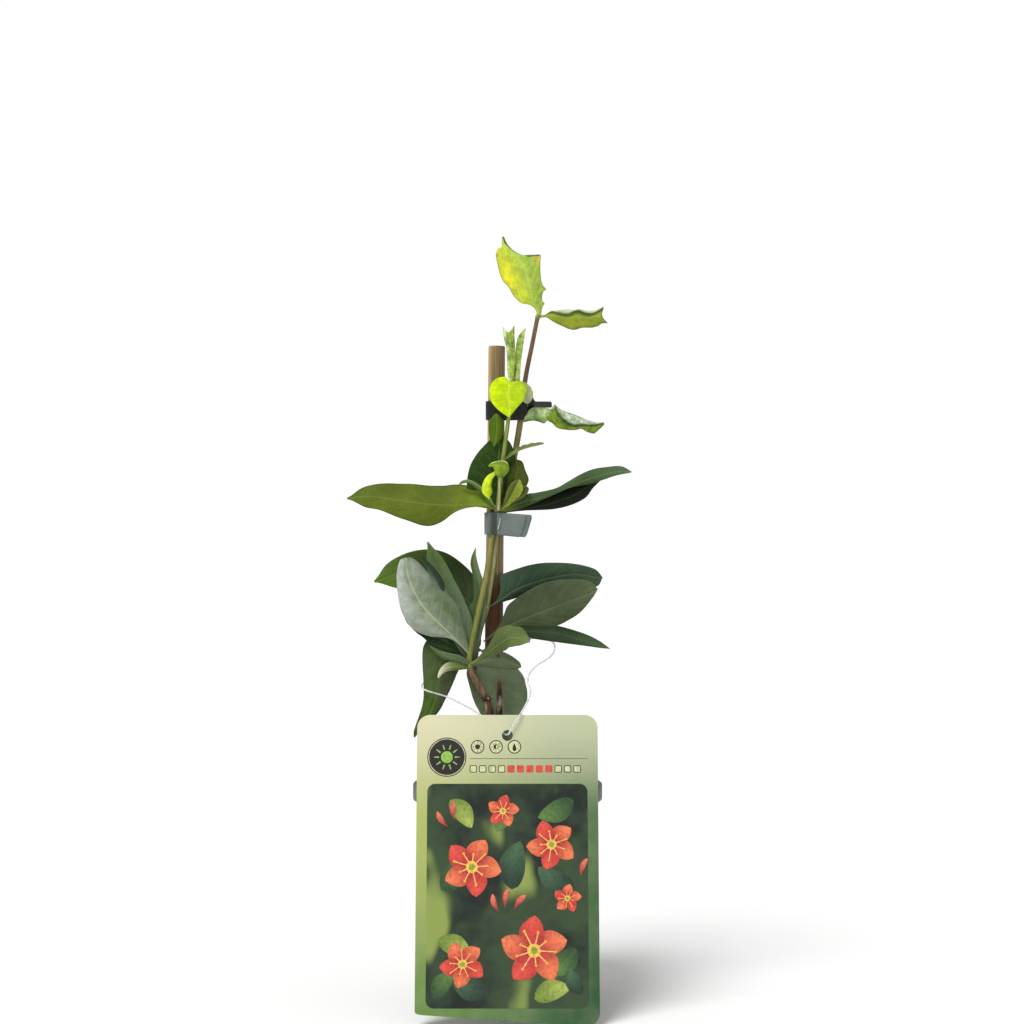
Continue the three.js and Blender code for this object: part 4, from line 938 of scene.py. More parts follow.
REAR_LOW_LEAVES = [
    dict(look="dark_left", midrib=[(-9.8, -3.2, 183.7), (-16, -0.8, 184), (-23, 2, 190), (-36, 5, 199.5),
         (-51, 6.5, 199.5), (-64, 6, 195.4)], face=(-0.1, -0.9, 0.42),
         plus=(0.8, 0.9, 5, 10.5, 12, 11.8, 9.6, 6.4, 0.4), minus=(0.8, 1.2, 8, 12, 12.6, 11, 9, 6.4, 0.4),
         wave=0.5, stalk=0.03),
    dict(look="back", midrib=[(-12.8, -4.2, 163), (-20, 5, 167.5), (-30, 20, 173), (-38, 34, 171)],
         face=(0, -0.25, 0.97), width=19, fold=8, wave=0.6),
    dict(look="back", midrib=[(-1.6, -2.4, 232), (-0.6, 3, 233.2), (1.5, 9, 235), (8, 20, 236),
         (15, 31, 234)], face=(0, 0.05, 1), width=14, fold=8, wave=0.5, stalk=0.36),
]

# ---------------------------------------------------------------- leaves given by their outline

# Each is a sheet through curves that run from its foot to its tip, from one edge to the other.
OUTLINES = {
    "tip_left": [
        [(14, 1.6, 321.8), (13.6, 1.4, 324.4), (12.4, 1, 326.6), (9.6, 0.2, 327.6), (6.4, 0, 328.2),
         (3.2, -0.2, 331.2), (1.2, -0.6, 334.4), (-0.2, -0.8, 336.6), (-2.2, -0.8, 338.6),
         (-3.8, -0.8, 342.4), (-5, -0.6, 347.6), (-5.6, 0, 350.6), (-5.2, 0.4, 352.8), (-4.2, 1, 354.4),
         (-2.9, 1.6, 354.8), (-2.8, 2.4, 357.4), (-2.6, 3, 360.2)],
        [(15, 1.6, 321.8), (14, 0.8, 325.2), (11.4, -0.4, 329.6), (10.2, -1.2, 336.6), (8.4, -1.4, 342.8),
         (5.4, -1, 348.6), (1.6, 0.2, 352.8), (-1.6, 2, 357.2), (-2.2, 3, 360.2)],
        [(16, 1.6, 321.8), (16.4, 1.2, 325.8), (17.6, 0.8, 328.2), (16.6, 0.6, 329.2), (16.4, 0.4, 331.2),
         (17, 0.2, 333.6), (18.4, 0.2, 334.8), (16.8, 0, 336.6), (16, -0.2, 339.2), (15.6, -0.2, 343.4),
         (15.6, -0.2, 347.6), (15.4, 0, 351.2), (10.6, 0.2, 350.8), (6, 0.6, 350.8), (3.2, 1, 351.6),
         (0.4, 1.6, 353.4), (-1.2, 2.4, 356.4), (-2, 3, 360.4)],
    ],
    "tip_left_curl": [
        [(-1.8, 3.2, 360.4), (-0.4, 2.2, 357.2), (1.4, 1.6, 354.8), (4, 1, 352.6), (7.2, 0.4, 351.2),
         (11, 0, 351.2), (15.4, 0, 351.2)],
        [(-2.2, 2.8, 360), (-1.2, 1.6, 356.4), (0.4, 0.6, 353.2), (3.2, 0, 351.2), (6.8, -0.4, 350.4),
         (11, -0.6, 350.4), (15.4, -0.4, 350.8)],
    ],
    "tip_right": [
        [(14.8, 1.6, 322.4), (18.2, 1, 322.9), (20.8, 1, 324.3), (23.6, 0.8, 324.8), (26.4, 0.8, 325.2),
         (29.2, 0.6, 325.2), (31.6, 0.4, 324.8), (33.6, 0.2, 325.2), (35.8, 0, 325), (38.8, -0.2, 324.4),
         (41.6, -0.2, 324.8), (44, -0.4, 325.6), (45.6, -0.4, 326.2)],
        [(14.8, 1.5, 322), (18.2, 0.6, 322.6), (20.8, -0.6, 323.8), (23.6, -1.4, 323.2), (26.4, -1.6, 322.4),
         (29.2, -1.8, 322.4), (31.6, -1.8, 323.6), (33.6, -1.8, 324), (35.8, -1.8, 323.2),
         (38.8, -1.6, 322.6), (41.6, -1.6, 323.2), (44, -1.2, 324.6), (45.6, -0.8, 325.6)],
        [(14.8, 1.5, 321.6), (18.6, 0.6, 322), (23.6, -1.2, 320.8), (28.8, -1.8, 319.2), (33.8, -1.8, 319.6),
         (39.2, -1.8, 319.6), (45, -1.2, 321.8)],
        [(14.8, 1.6, 321.2), (18.2, 1, 321.5), (20.4, 0, 320.2), (23, -0.4, 318.6), (26.4, -0.8, 317),
         (29.6, -1, 315.6), (32.4, -1.2, 315.4), (34.8, -1.2, 316.2), (37.2, -1.2, 316.4), (40.2, -1, 316.4),
         (43, -0.8, 317.2), (44.8, -0.6, 318.4), (47.8, -0.2, 318.6)],
    ],
    "trough_left": [
        [(6.8, -1, 271.8), (8.8, -2, 274.8), (11, -3, 277.8), (14.4, -3.8, 278.4), (18.2, -4.6, 278),
         (20.8, -5.2, 277.6), (22.4, -5.6, 279.6)],
        [(6.8, -1.4, 271.6), (10.6, -3.4, 273.8), (14.4, -5, 274.6), (17.6, -6.2, 274.8), (20.4, -7, 275.8)],
        [(6.8, -1.6, 271.2), (11.6, -4.2, 272), (14.8, -5.6, 271.4), (17.2, -6.4, 270.6), (18.6, -7.2, 272)],
    ],
    "trough_right": [
        [(22.4, -5.6, 279.6), (25.2, -4.6, 277.2), (28.2, -4, 276), (32.4, -3.8, 274.6), (37, -4, 272.6),
         (41.4, -4.4, 271.2), (45.8, -4.8, 271.2)],
        [(22.4, -6, 278.8), (23.8, -7.2, 275.2), (26.8, -8, 271.8), (30.8, -8.2, 269.6), (35.6, -7.8, 269.6),
         (40.8, -7, 269.6), (45.8, -5.2, 270.8)],
        [(20.4, -7.2, 275.8), (21.8, -8.2, 272.8), (25.2, -8.6, 269.6), (29.6, -8.8, 268),
         (34.2, -8.4, 268.4), (38, -7.8, 268), (41.8, -7, 268), (45.8, -5.4, 270.4)],
        [(18.6, -7.2, 272), (21.2, -7.6, 270.6), (23.6, -7.8, 268.4), (27.8, -7.8, 267.6),
         (32.4, -7.4, 267.6), (35.2, -7.2, 268.4), (37.2, -7.2, 266.8), (40.2, -6.8, 265.8),
         (41.8, -6.4, 266.4), (45.8, -5.4, 270)],
    ],
    "unfolding_left": [
        [(0.6, -10.8, 290.4), (-0.2, -11, 297), (-0.4, -11.2, 304.4), (-1.8, -11.6, 311.2),
         (-2.2, -11.8, 315.8)],
        [(1.6, -11.8, 290.4), (1.6, -12.4, 298.4), (1.6, -12.8, 305.2), (0.4, -12.8, 313.2)],
        [(3, -10.8, 290.4), (3.6, -11, 297.8), (3.6, -11.2, 305), (3.2, -11.6, 311.2), (3.2, -11.8, 316.4)],
    ],
    "unfolding_right": [
        [(3, -10.2, 290.4), (3.8, -10.4, 298.4), (3.9, -10.6, 305), (5, -10.8, 311.2), (8.4, -11, 315.4)],
        [(4.4, -11.2, 290.4), (5, -11.4, 298.4), (5.6, -11.6, 304.8), (6.8, -11.4, 311.2),
         (8.4, -11, 315.6)],
        [(5.8, -10, 290.4), (6.2, -10.4, 297.6), (7, -10.6, 304.6), (8, -10.8, 311.2), (8.6, -11, 315.6)],
    ],
    "heart": [
        [(0.4, -11.4, 290.4), (2.6, -11.6, 290.2), (5.2, -12, 290.4), (7.6, -12.4, 289.6),
         (9.2, -12.8, 287.6), (9, -13.2, 284.6), (7.6, -13.6, 281.2), (4.8, -14, 278), (2.2, -14.4, 274.8),
         (0.8, -14.6, 273.2)],
        [(0.4, -11.6, 290.2), (0.2, -12.6, 287), (0.2, -13.6, 282.6), (0.4, -14.4, 277.6),
         (0.6, -14.6, 273.2)],
        [(0.2, -11.4, 290.4), (-0.6, -11.6, 292), (-3.2, -12, 292.2), (-6, -12.4, 291), (-8, -13.2, 288.4),
         (-8.6, -13.6, 285.2), (-7.8, -14, 280.8), (-4.8, -14.4, 277), (-1.4, -14.4, 274.4),
         (0.6, -14.6, 273.2)],
    ],
    "hood": [
        [(-9, -15.4, 250.4), (-7, -15.2, 252), (-3.2, -14.6, 252.8), (-0.4, -13.8, 252.2),
         (0.8, -12.8, 249.6)],
        [(-8.8, -15.2, 250), (-6.4, -15.4, 250.6), (-3.6, -15.2, 250.6), (-1, -14.4, 249.6),
         (0.6, -13, 248.6)],
        [(-8.6, -15, 250), (-6.4, -14.8, 249.6), (-6, -14.4, 247.6), (-4.4, -13.6, 245.2),
         (-1.8, -13, 245.2), (0.4, -12.6, 247.6)],
    ],
    "crescent": [
        [(-4.4, -12.2, 247.2), (-6.8, -13, 244.6), (-7.6, -13.4, 241.2), (-7.2, -13.6, 238),
         (-8.6, -13.8, 234.8)],
        [(-5, -12.8, 247.8), (-8.4, -14, 244), (-9.8, -14.4, 240.4), (-10, -14.4, 237.6),
         (-8.8, -13.8, 234.8)],
        [(-5.4, -12.4, 248.2), (-9.6, -13.2, 245.6), (-11.8, -13.6, 241.6), (-11.8, -13.8, 237.8),
         (-9, -13.8, 235)],
    ],
    "folded": [
        [(-3.8, -7.8, 229.8), (-1.8, -9.4, 233.2), (-0.4, -10.8, 238.6), (1.6, -11.2, 242.2),
         (4.8, -11.2, 244)],
        [(-3.4, -8, 229.6), (-0.4, -10, 233.2), (2, -11.2, 237.6), (3.6, -11.8, 240.8), (5.4, -11.4, 244)],
        [(-3.2, -7.8, 229.6), (1.2, -9, 232.2), (5.4, -10, 235.8), (7.2, -10.6, 239.8), (6, -11.2, 243.8)],
    ],
    "glaucous": [
        [(-2.6, -6.8, 232), (-1.6, -6.4, 239.2), (-0.6, -6.8, 246.2), (1.6, -7.2, 251.6),
         (3.8, -7.4, 253.6)],
        [(-2.2, -7, 231.8), (1.4, -7.2, 238.8), (3.6, -7.6, 244.8), (4.8, -7.8, 250), (4, -7.6, 253.6)],
        [(-2, -6.8, 231.6), (3.8, -6.8, 235.8), (8.2, -7, 240), (10, -7.2, 244), (8.4, -7.2, 248.4),
         (7, -7.2, 252.4), (4.4, -7.4, 253.6)],
    ],
    "oval": [
        [(-6.6, -5.6, 259.8), (-8.4, -5.6, 263.6), (-9, -5.8, 268.4), (-8.4, -6, 272.2), (-6, -6, 275.2)],
        [(-6.2, -6, 259.8), (-5.6, -6.2, 264.6), (-5.2, -6.4, 269.4), (-5.4, -6.2, 275.2)],
        [(-6, -5.6, 259.8), (-2.8, -5.6, 263.6), (-1.6, -5.8, 268.4), (-2.2, -6, 272.2), (-4.8, -6, 275.2)],
    ],
    "long_left_curl": [
        [(-23, -7, 242), (-21.5, -7.2, 243.5), (-18.5, -7.4, 244), (-15, -7.6, 242.5), (-11, -8, 239),
         (-5.5, -8, 231)],
        [(-22.5, -7.4, 241.6), (-20, -8, 242.4), (-17, -8.6, 241.6), (-13.6, -9, 238.4), (-9.4, -9, 233),
         (-6, -8.2, 230)],
    ],
    "long_right_top": [
        [(-3.5, -7, 229), (0, -6.5, 233), (5.5, -6, 236.5), (14.5, -5, 238), (23, -4, 240), (28.5, -3, 243),
         (34.5, -2.5, 246.5), (40.5, -1.5, 249), (46.5, -1, 250), (54, -0.5, 250.5), (59, 0, 248)],
        [(-3.5, -7.5, 229), (3, -7.5, 231.5), (10.5, -7, 234), (19, -6, 236.5), (27.5, -5, 240),
         (36, -4, 243.5), (45, -3, 246.5), (52.5, -1.5, 248), (59, 0, 248)],
        [(-3.5, -7, 228.5), (3.5, -7.5, 229.5), (12, -7.2, 232.5), (20.5, -6.8, 236.5), (26, -6.4, 239),
         (30, -5.8, 240.5), (39, -4.5, 242), (45.5, -3, 244), (51.5, -1.5, 246), (59, 0, 247.5)],
    ],
    "long_right_low": [
        [(-2, -7, 229), (5, -6.5, 231), (13, -4.6, 235), (22, -3, 238.5), (30, -1.8, 241.5), (38, -1.2, 243),
         (44, -1.6, 244)],
        [(-1.5, -6, 228.5), (7, -5.5, 230), (16.5, -5, 231.5), (25, -4, 234), (32.5, -3.5, 237),
         (38.5, -3, 241), (44, -3, 244)],
        [(-1, -5.5, 228.5), (8, -4.5, 229.5), (21, -3.5, 230), (30, -2.5, 232), (37, -2, 235.5),
         (40.5, -2, 240), (44, -2.5, 243.5)],
    ],
    "broad_grey": [
        [(-18, -9, 160.5), (-21.5, -10.5, 166.5), (-28, -13, 169.5), (-36.5, -16, 170.5), (-44, -19, 174),
         (-49, -21.5, 181.5), (-51, -23.5, 190.5), (-51.5, -25, 199.5), (-50, -26, 206),
         (-47.5, -26, 207.5)],
        [(-18, -9, 161), (-26, -13.5, 170.5), (-33.5, -17, 178), (-40, -20, 185.5), (-45, -23, 195),
         (-47, -25, 203), (-47, -26, 207.5)],
        [(-17.5, -9, 161), (-19, -10, 168), (-21, -12, 176), (-23, -14.5, 184), (-29, -18, 192),
         (-36.5, -21.5, 200), (-41, -24, 205), (-44.5, -25.5, 207.5), (-47, -26, 207.5)],
    ],
    "dark_right": [
        [(-10, -4, 183), (-5.5, -4, 186.5), (-3.5, -3.5, 191.5), (-3.5, -2.5, 196.5), (-2.5, -1.5, 199),
         (4, 0, 201.5), (11, 1.5, 203.5), (19, 2.5, 204.5), (31.5, 4.5, 204), (41.5, 6, 201.5),
         (45.5, 7, 197.5)],
        [(-10, -4.5, 183), (-3.5, -4.5, 187), (3, -3, 191.5), (11.5, -1, 195), (21, 1.5, 197.5),
         (32.5, 4, 199), (45.5, 7, 197)],
        [(-10, -4, 182.5), (-3.5, -4, 185.5), (3, -2.5, 187.5), (11.5, -1, 190), (21, 1, 191.5),
         (32.5, 3.5, 192.5), (42.5, 5.5, 193), (45.5, 7, 197)],
    ],
    "grey_right": [
        [(-11.5, -4.5, 167.5), (-5, -5.5, 173.5), (-2, -6.5, 179.5), (0.5, -7.5, 185), (8, -8.5, 190.5),
         (15.5, -9, 194.5), (23, -9, 196.5), (32.5, -9, 197), (39, -9, 196), (42.5, -9, 192.5)],
        [(-11.5, -4.5, 167.5), (-2, -6.5, 174), (10.5, -8, 179.5), (25, -9, 185), (38, -9, 190),
         (42.5, -9, 192.5)],
        [(-11.5, -4.5, 167), (-5, -5.5, 170.5), (0.5, -6.5, 173.5), (8, -7.5, 174.5), (16, -8.5, 174.5),
         (23, -9, 175), (28.5, -9, 177.5), (34.5, -9, 181.5), (40, -9, 188), (42.5, -9, 192)],
    ],
    "darkest": [
        [(-12.5, -4.5, 162.5), (-6, -4, 168), (1.5, -3.5, 174), (11.5, -3, 175.5), (21.5, -3, 175),
         (28.5, -3, 173.5), (37.5, -2, 170.5), (43.5, -1, 167.5), (49, 0, 163.5)],
        [(-12.5, -4.5, 162), (-3.5, -4.5, 167.5), (6.5, -4, 171.5), (15.5, -4, 171.5), (25, -4, 170.5),
         (34.5, -3, 168), (42.5, -1.5, 165.5), (49, 0, 163.5)],
        [(-12.5, -4.5, 162), (-3.5, -4, 166), (6.5, -3.5, 169.5), (12.5, -3, 168.5), (19, -3, 167.5),
         (26.5, -3, 166.5), (37.5, -2, 165), (44, -1, 164), (49, 0, 163.5)],
    ],
    "short_grey": [
        [(-17, -8.5, 156.5), (-14, -8, 158.5), (-8.5, -8, 162.5), (-3.5, -8, 163), (1.5, -8.5, 161),
         (5.5, -9, 158), (6.5, -9.5, 156)],
        [(-17, -9, 156.5), (-10, -9, 158.5), (-2.5, -9.5, 158.5), (6.5, -10, 155.5)],
        [(-17, -8.5, 156), (-11, -8.5, 155.5), (-5.5, -9, 155), (0, -9.5, 154.5), (4, -9.5, 154.5),
         (6.5, -10, 155.5)],
    ],
    "narrow_dark": [
        [(-19.4, -6.2, 156.8), (-20.4, -5.8, 167.2), (-20, -5.6, 176.6), (-18.6, -5.4, 183.2),
         (-16.2, -5, 187), (-16, -4.6, 192.6), (-16.8, -4.2, 199.8), (-17.6, -4, 204), (-17, -3.6, 207.8),
         (-15.2, -3, 211.8)],
        [(-17.8, -6, 156.8), (-16.4, -5.6, 168), (-14, -5.4, 177.6), (-12.6, -4.8, 185.6),
         (-13.4, -4.2, 194), (-15.2, -4, 201.2), (-16.2, -3.4, 206.8), (-15.2, -3, 211.8)],
        [(-16.6, -6.2, 156.8), (-14.8, -6, 163.4), (-12.8, -5.6, 169.8), (-11.4, -5.6, 176.6),
         (-10.4, -5.2, 183.2), (-10.2, -4.6, 188.4), (-11.2, -4, 195), (-13.4, -3.6, 201.6),
         (-14.8, -3.2, 207.4), (-15, -3, 211.8)],
    ],
    "behind_stub": [
        [(-18.4, -6.4, 156.8), (-19.4, -6, 152.4), (-18.6, -5, 148.2), (-17.6, -4.4, 144.4),
         (-16.6, -4, 140.8), (-15.2, -3.8, 137.2), (-13, -3.8, 132.8), (-9.6, -4, 122), (-3.4, -4, 110)],
        [(-16.8, -6, 157.6), (-12.2, -4.6, 156.6), (-8.4, -4, 154.2), (-5.8, -3.6, 148.6), (-4, -3.4, 141),
         (-2.6, -3.6, 132.8), (-2.8, -4, 110)],
        [(-15.4, -6.2, 158.2), (-8.4, -5.4, 160), (-1.2, -5.2, 159), (4.4, -5, 154.8), (7.6, -5, 150.8),
         (8.6, -4.8, 147.2), (9.4, -4.6, 143), (9, -4.6, 138.2), (7, -4.6, 133.6), (3.4, -4.4, 122),
         (-2.2, -4, 110)],
    ],
    "small_pale_tip": [
        [(-18.6, -9, 154.6), (-22.8, -12.2, 154.4), (-26, -13.6, 154.2), (-28.8, -14.8, 153.8),
         (-30.8, -15.6, 152.4), (-32.2, -15.6, 150.8)],
        [(-18.8, -9.2, 155.4), (-22.8, -12.8, 156.2), (-25.6, -14.2, 156.6), (-28, -15.2, 156),
         (-29.8, -15.8, 155), (-31.4, -16, 153), (-32.4, -15.8, 151)],
        [(-18.6, -9, 156), (-22.8, -12, 157.6), (-25.6, -13.4, 158.4), (-28, -14.4, 158.2), (-30, -15, 157),
         (-31.6, -15.4, 155), (-32.6, -15.6, 152.8), (-32.8, -15.6, 151)],
    ],
    "broad_grey_curl": [
        [(-39.6, -25.4, 208.2), (-36.4, -25.8, 205.2), (-33.6, -25.2, 202.4), (-31.4, -24.2, 199.4),
         (-29.8, -23, 196.2), (-29.2, -21.8, 193.2), (-29.6, -21, 191.8)],
        [(-40.2, -25.8, 206.4), (-37.6, -25.8, 203), (-34.8, -25.2, 199), (-32.8, -24, 196),
         (-31.2, -22.6, 192.8), (-29.8, -21.2, 191.6)],
    ],
    "edge_grey": [
        [(-18.8, -9.2, 155.4), (-22.8, -12, 157.6), (-27, -13.6, 158.8), (-30.2, -14.4, 159.8),
         (-33.6, -15, 162.2), (-36.6, -15, 165.6)],
        [(-18.6, -9.6, 157.2), (-23.4, -12.2, 159.4), (-28.4, -14, 161.2), (-32.6, -15, 163.2),
         (-36.8, -15, 166)],
        [(-18.4, -9.4, 158.8), (-22.4, -12, 161.2), (-27.6, -14, 162.6), (-31.8, -14, 163.8),
         (-35.2, -14.6, 165.6), (-36.8, -14.8, 166.2)],
    ],
    "hanging_green": [
        [(-18.2, -8, 155.4), (-20.4, -8.6, 156.4), (-22.2, -9.6, 155.6), (-23.4, -10.8, 153.4),
         (-25.2, -12, 149.2), (-27.2, -13.2, 144.6), (-29.4, -14.2, 140.2), (-31.6, -15.2, 136),
         (-35, -16.4, 131.8), (-39, -17.8, 127.6), (-42, -19, 125.4), (-43, -20, 123.6)],
        [(-18.2, -8, 155.8), (-24.4, -9.6, 160.8), (-28.6, -10.8, 162.8), (-31.6, -11.8, 159),
         (-32.6, -12.6, 153.4), (-33.4, -13.4, 147.8), (-34, -14.4, 142.4), (-35.8, -15.8, 136.4),
         (-39, -17.4, 130.4), (-43.2, -20, 123.6)],
        [(-18.4, -8, 156.4), (-24.8, -9.4, 164.6), (-31.4, -10.4, 170.2), (-36.6, -11.2, 169.4),
         (-39.2, -11.8, 166.4), (-40, -12.4, 162.8), (-40, -13, 157.2), (-39.6, -13.8, 151.2),
         (-39.4, -14.4, 146), (-39.4, -14.8, 142), (-40, -15.6, 137.8), (-41.4, -16.6, 133.4),
         (-42.8, -17.8, 129.4), (-43.8, -19, 126.2), (-43.8, -20, 123.6)],
    ],
}


def shade(*stops, **more):
    """How a sheet is painted: colours at shares of the way across it, then its rim, tip, veins and patches.

    A patch is a place across and along, its reach across and along, and its colour.
    """
    return {"stops": stops, **more}


SHADES = {
    "tip_left": shade(
        (0, (212, 214, 60)), (0.3, (190, 208, 62)), (0.55, (172, 201, 76)), (1, (158, 180, 68)),
        rim=(92, 98, 50), rim_from=0.94, tip=(66, 92, 52), tip_from=0.93, veins=0.55,
        patches=[(0.12, 0.5, 0.16, 0.1, (232, 230, 36)), (0.2, 0.64, 0.14, 0.07, (226, 226, 44)),
        (0.96, 0.56, 0.1, 0.05, (238, 196, 88)), (0.3, 0.3, 0.2, 0.08, (200, 214, 60)),
        (0.07, 0.77, 0.03, 0.02, (86, 100, 30))]),
    "tip_left_curl": shade((0, (168, 190, 140)), (0.45, (90, 120, 70)), (1, (40, 66, 34)), veins=0),
    "tip_right": shade(
        (0, (208, 218, 184)), (0.2, (186, 202, 150)), (0.31, (56, 74, 34)), (0.37, (62, 80, 32)),
        (0.46, (138, 156, 40)), (0.8, (150, 162, 44)), (1, (118, 126, 44)), rim=(84, 90, 42), rim_from=0.94,
        rim_side=1, foot=(138, 150, 58), tip=(92, 92, 60), tip_from=0.97, veins=0.2),
    # In the trough leaf the whitish stops are the glaucous underside's colour brightened by a painted sheen.
    # trough_right's dark stops at 0.31 to 0.39 are painted shade in its crease, and the bright green band
    # and patch beyond them are painted light shining through the blade.
    "trough_left": shade(
        (0, (112, 140, 70)), (0.3, (172, 190, 140)), (0.6, (150, 176, 104)), (1, (92, 122, 46)),
        foot=(130, 158, 66), veins=0.3),
    "trough_right": shade(
        (0, (128, 148, 100)), (0.12, (206, 216, 190)), (0.25, (164, 182, 138)), (0.31, (38, 60, 24)),
        (0.39, (46, 70, 28)), (0.46, (92, 118, 26)), (0.7, (112, 136, 18)), (1, (124, 150, 34)),
        rim=(70, 92, 46), rim_from=0.95, veins=0.2, patches=[(0.6, 0.06, 0.3, 0.14, (112, 138, 28))]),
    "unfolding_left": shade(
        (0, (160, 186, 110)), (0.18, (206, 222, 156)), (0.45, (150, 182, 60)), (0.8, (188, 210, 84)),
        (0.93, (62, 92, 40)), (1, (120, 150, 70)), veins=0.2, patches=[(0.3, 0.45, 0.2, 0.08, (92, 130, 50)),
        (0.6, 0.7, 0.2, 0.08, (100, 136, 54)), (0.35, 0.75, 0.15, 0.1, (110, 146, 70))]),
    "unfolding_right": shade(
        (0, (112, 144, 56)), (0.4, (150, 178, 70)), (0.8, (196, 206, 120)), (1, (216, 214, 150)), veins=0.2,
        patches=[(0.4, 0.4, 0.25, 0.08, (104, 138, 52)), (0.5, 0.7, 0.2, 0.1, (120, 152, 62))]),
    "heart": shade(
        (0, (166, 198, 44)), (0.3, (178, 210, 8)), (0.5, (204, 228, 40)), (0.55, (198, 228, 0)),
        (1, (206, 234, 0)), veins=0.12, quilt=0.08, rim=(150, 178, 20), rim_from=0.95),
    "hood": shade(
        (0, (220, 222, 160)), (0.12, (206, 214, 130)), (0.2, (112, 140, 34)), (0.5, (136, 166, 40)),
        (1, (96, 124, 30)), patches=[(0.8, 0.42, 0.3, 0.14, (172, 200, 44))], veins=0.1),
    "crescent": shade(
        (0, (128, 158, 24)), (0.35, (200, 226, 28)), (0.75, (228, 246, 50)), (1, (200, 226, 50)), veins=0.1),
    "folded": shade(
        (0, (100, 114, 50)), (0.4, (84, 94, 38)), (0.5, (58, 70, 28)), (0.56, (128, 144, 44)),
        (0.9, (148, 166, 56)), (1, (176, 190, 90)), veins=0.15),
    "glaucous": shade(
        (0, (44, 60, 14)), (0.5, (70, 82, 20)), (0.8, (78, 88, 30)), (1, (56, 68, 16)), veins=0.18),
    "oval": shade((0, (74, 100, 8)), (0.5, (92, 118, 12)), (1, (72, 96, 8)), veins=0.2),
    "long_left_curl": shade((0, (150, 166, 112)), (0.4, (102, 126, 66)), (1, (64, 88, 28)), veins=0),
    "long_right_top": shade(
        (0, (74, 96, 62)), (0.3, (64, 86, 46)), (0.7, (56, 78, 36)), (1, (42, 62, 26)), tip=(86, 110, 78),
        tip_from=0.6, foot=(100, 118, 46), veins=0.2),
    # long_right_low is the long right leaf's lower half, painted near black as painted shade.
    "long_right_low": shade((0, (3, 12, 2)), (0.5, (6, 20, 3)), (1, (12, 30, 5)), veins=0.08),
    # broad_grey's first patch, whitish, is a painted sheen.
    "broad_grey": shade(
        (0, (148, 158, 140)), (0.3, (156, 166, 148)), (0.46, (138, 150, 122)), (0.5, (158, 172, 118)),
        (0.54, (132, 146, 118)), (1, (100, 118, 86)), veins=0.62,
        patches=[(0.15, 0.78, 0.22, 0.22, (196, 204, 194)), (0.8, 0.85, 0.2, 0.12, (162, 172, 156)),
        (0.8, 0.42, 0.1, 0.16, (86, 108, 58))], foot=(116, 130, 78)),
    "dark_right": shade(
        (0, (60, 82, 62)), (0.4, (50, 70, 50)), (1, (36, 52, 32)), tip=(68, 86, 64), tip_from=0.5,
        veins=0.22),
    "grey_right": shade(
        (0, (68, 80, 56)), (0.5, (72, 82, 54)), (1, (62, 74, 46)), tip=(84, 96, 66), tip_from=0.6,
        veins=0.16),
    "darkest": shade(
        (0, (58, 80, 52)), (0.4, (72, 94, 64)), (1, (50, 68, 42)), tip=(68, 92, 60), tip_from=0.6,
        veins=0.12),
    "short_grey": shade(
        (0, (106, 120, 82)), (0.5, (124, 134, 102)), (1, (94, 108, 74)), veins=0.2,
        patches=[(0.3, 0.53, 0.07, 0.03, (40, 48, 26))]),
    "narrow_dark": shade(
        (0, (68, 88, 52)), (0.35, (86, 108, 68)), (0.6, (102, 124, 84)), (1, (124, 142, 102)), veins=0.2,
        patches=[(0.3, 0.1, 0.7, 0.28, (50, 58, 34))]),
    "behind_stub": shade(
        (0, (50, 70, 30)), (0.25, (66, 84, 52)), (0.4, (90, 108, 84)), (1, (98, 118, 92)), veins=0.3),
    "small_pale_tip": shade(
        (0, (104, 128, 58)), (0.5, (116, 140, 66)), (1, (78, 104, 34)), foot=(84, 110, 36),
        tip=(226, 224, 192), tip_from=0.36, veins=0.2),
    "broad_grey_curl": shade((0, (22, 42, 26)), (0.6, (34, 56, 38)), (1, (62, 86, 62)), veins=0),
    "hanging_green": shade(
        (0, (62, 72, 46)), (0.2, (76, 88, 54)), (0.5, (78, 96, 50)), (0.8, (72, 92, 42)), (1, (58, 74, 36)),
        foot=(60, 80, 40), veins=0.12, patches=[(0.5, 0.72, 0.35, 0.12, (74, 106, 30)),
        (0.85, 0.5, 0.2, 0.1, (84, 96, 64)), (0.2, 0.5, 0.15, 0.14, (72, 78, 54)),
        (0.6, 0.97, 0.6, 0.08, (56, 84, 26))]),
    "edge_grey": shade(
        (0, (78, 96, 54)), (0.5, (100, 116, 84)), (1, (112, 126, 102)), tip=(70, 92, 58), tip_from=0.4,
        veins=0.25),
}
SHEET_ROWS, SHEET_COLUMNS = 96, 24
UNDERSIDE = (150, 164, 128)


def sheet_tints(look, across, along, out):
    """The colour of a sheet's upper side at each point."""
    tint = ramp(look["stops"], across[0])[None] * np.ones(across.shape + (1,))
    if "foot" in look:
        tint = blended(tint, paint(*look["foot"]), 1 - smooth(along, 0, 0.18))
    if "tip" in look:
        tint = blended(tint, paint(*look["tip"]), smooth(along, look["tip_from"], 1))
    for at_across, at_along, reach_across, reach_along, colour in look.get("patches", ()):
        near = np.exp(-((across - at_across) / reach_across) ** 2 - ((along - at_along) / reach_along) ** 2)
        tint = blended(tint, paint(*colour), 0.9 * near)
    if "rim" in look:
        edge = smooth(out, look["rim_from"] - 0.04, look["rim_from"] + 0.03)
        only = (2 * across - 1) * look.get("rim_side", 0) >= 0
        tint = blended(tint, paint(*look["rim"]), 0.85 * edge * only)
    return tint


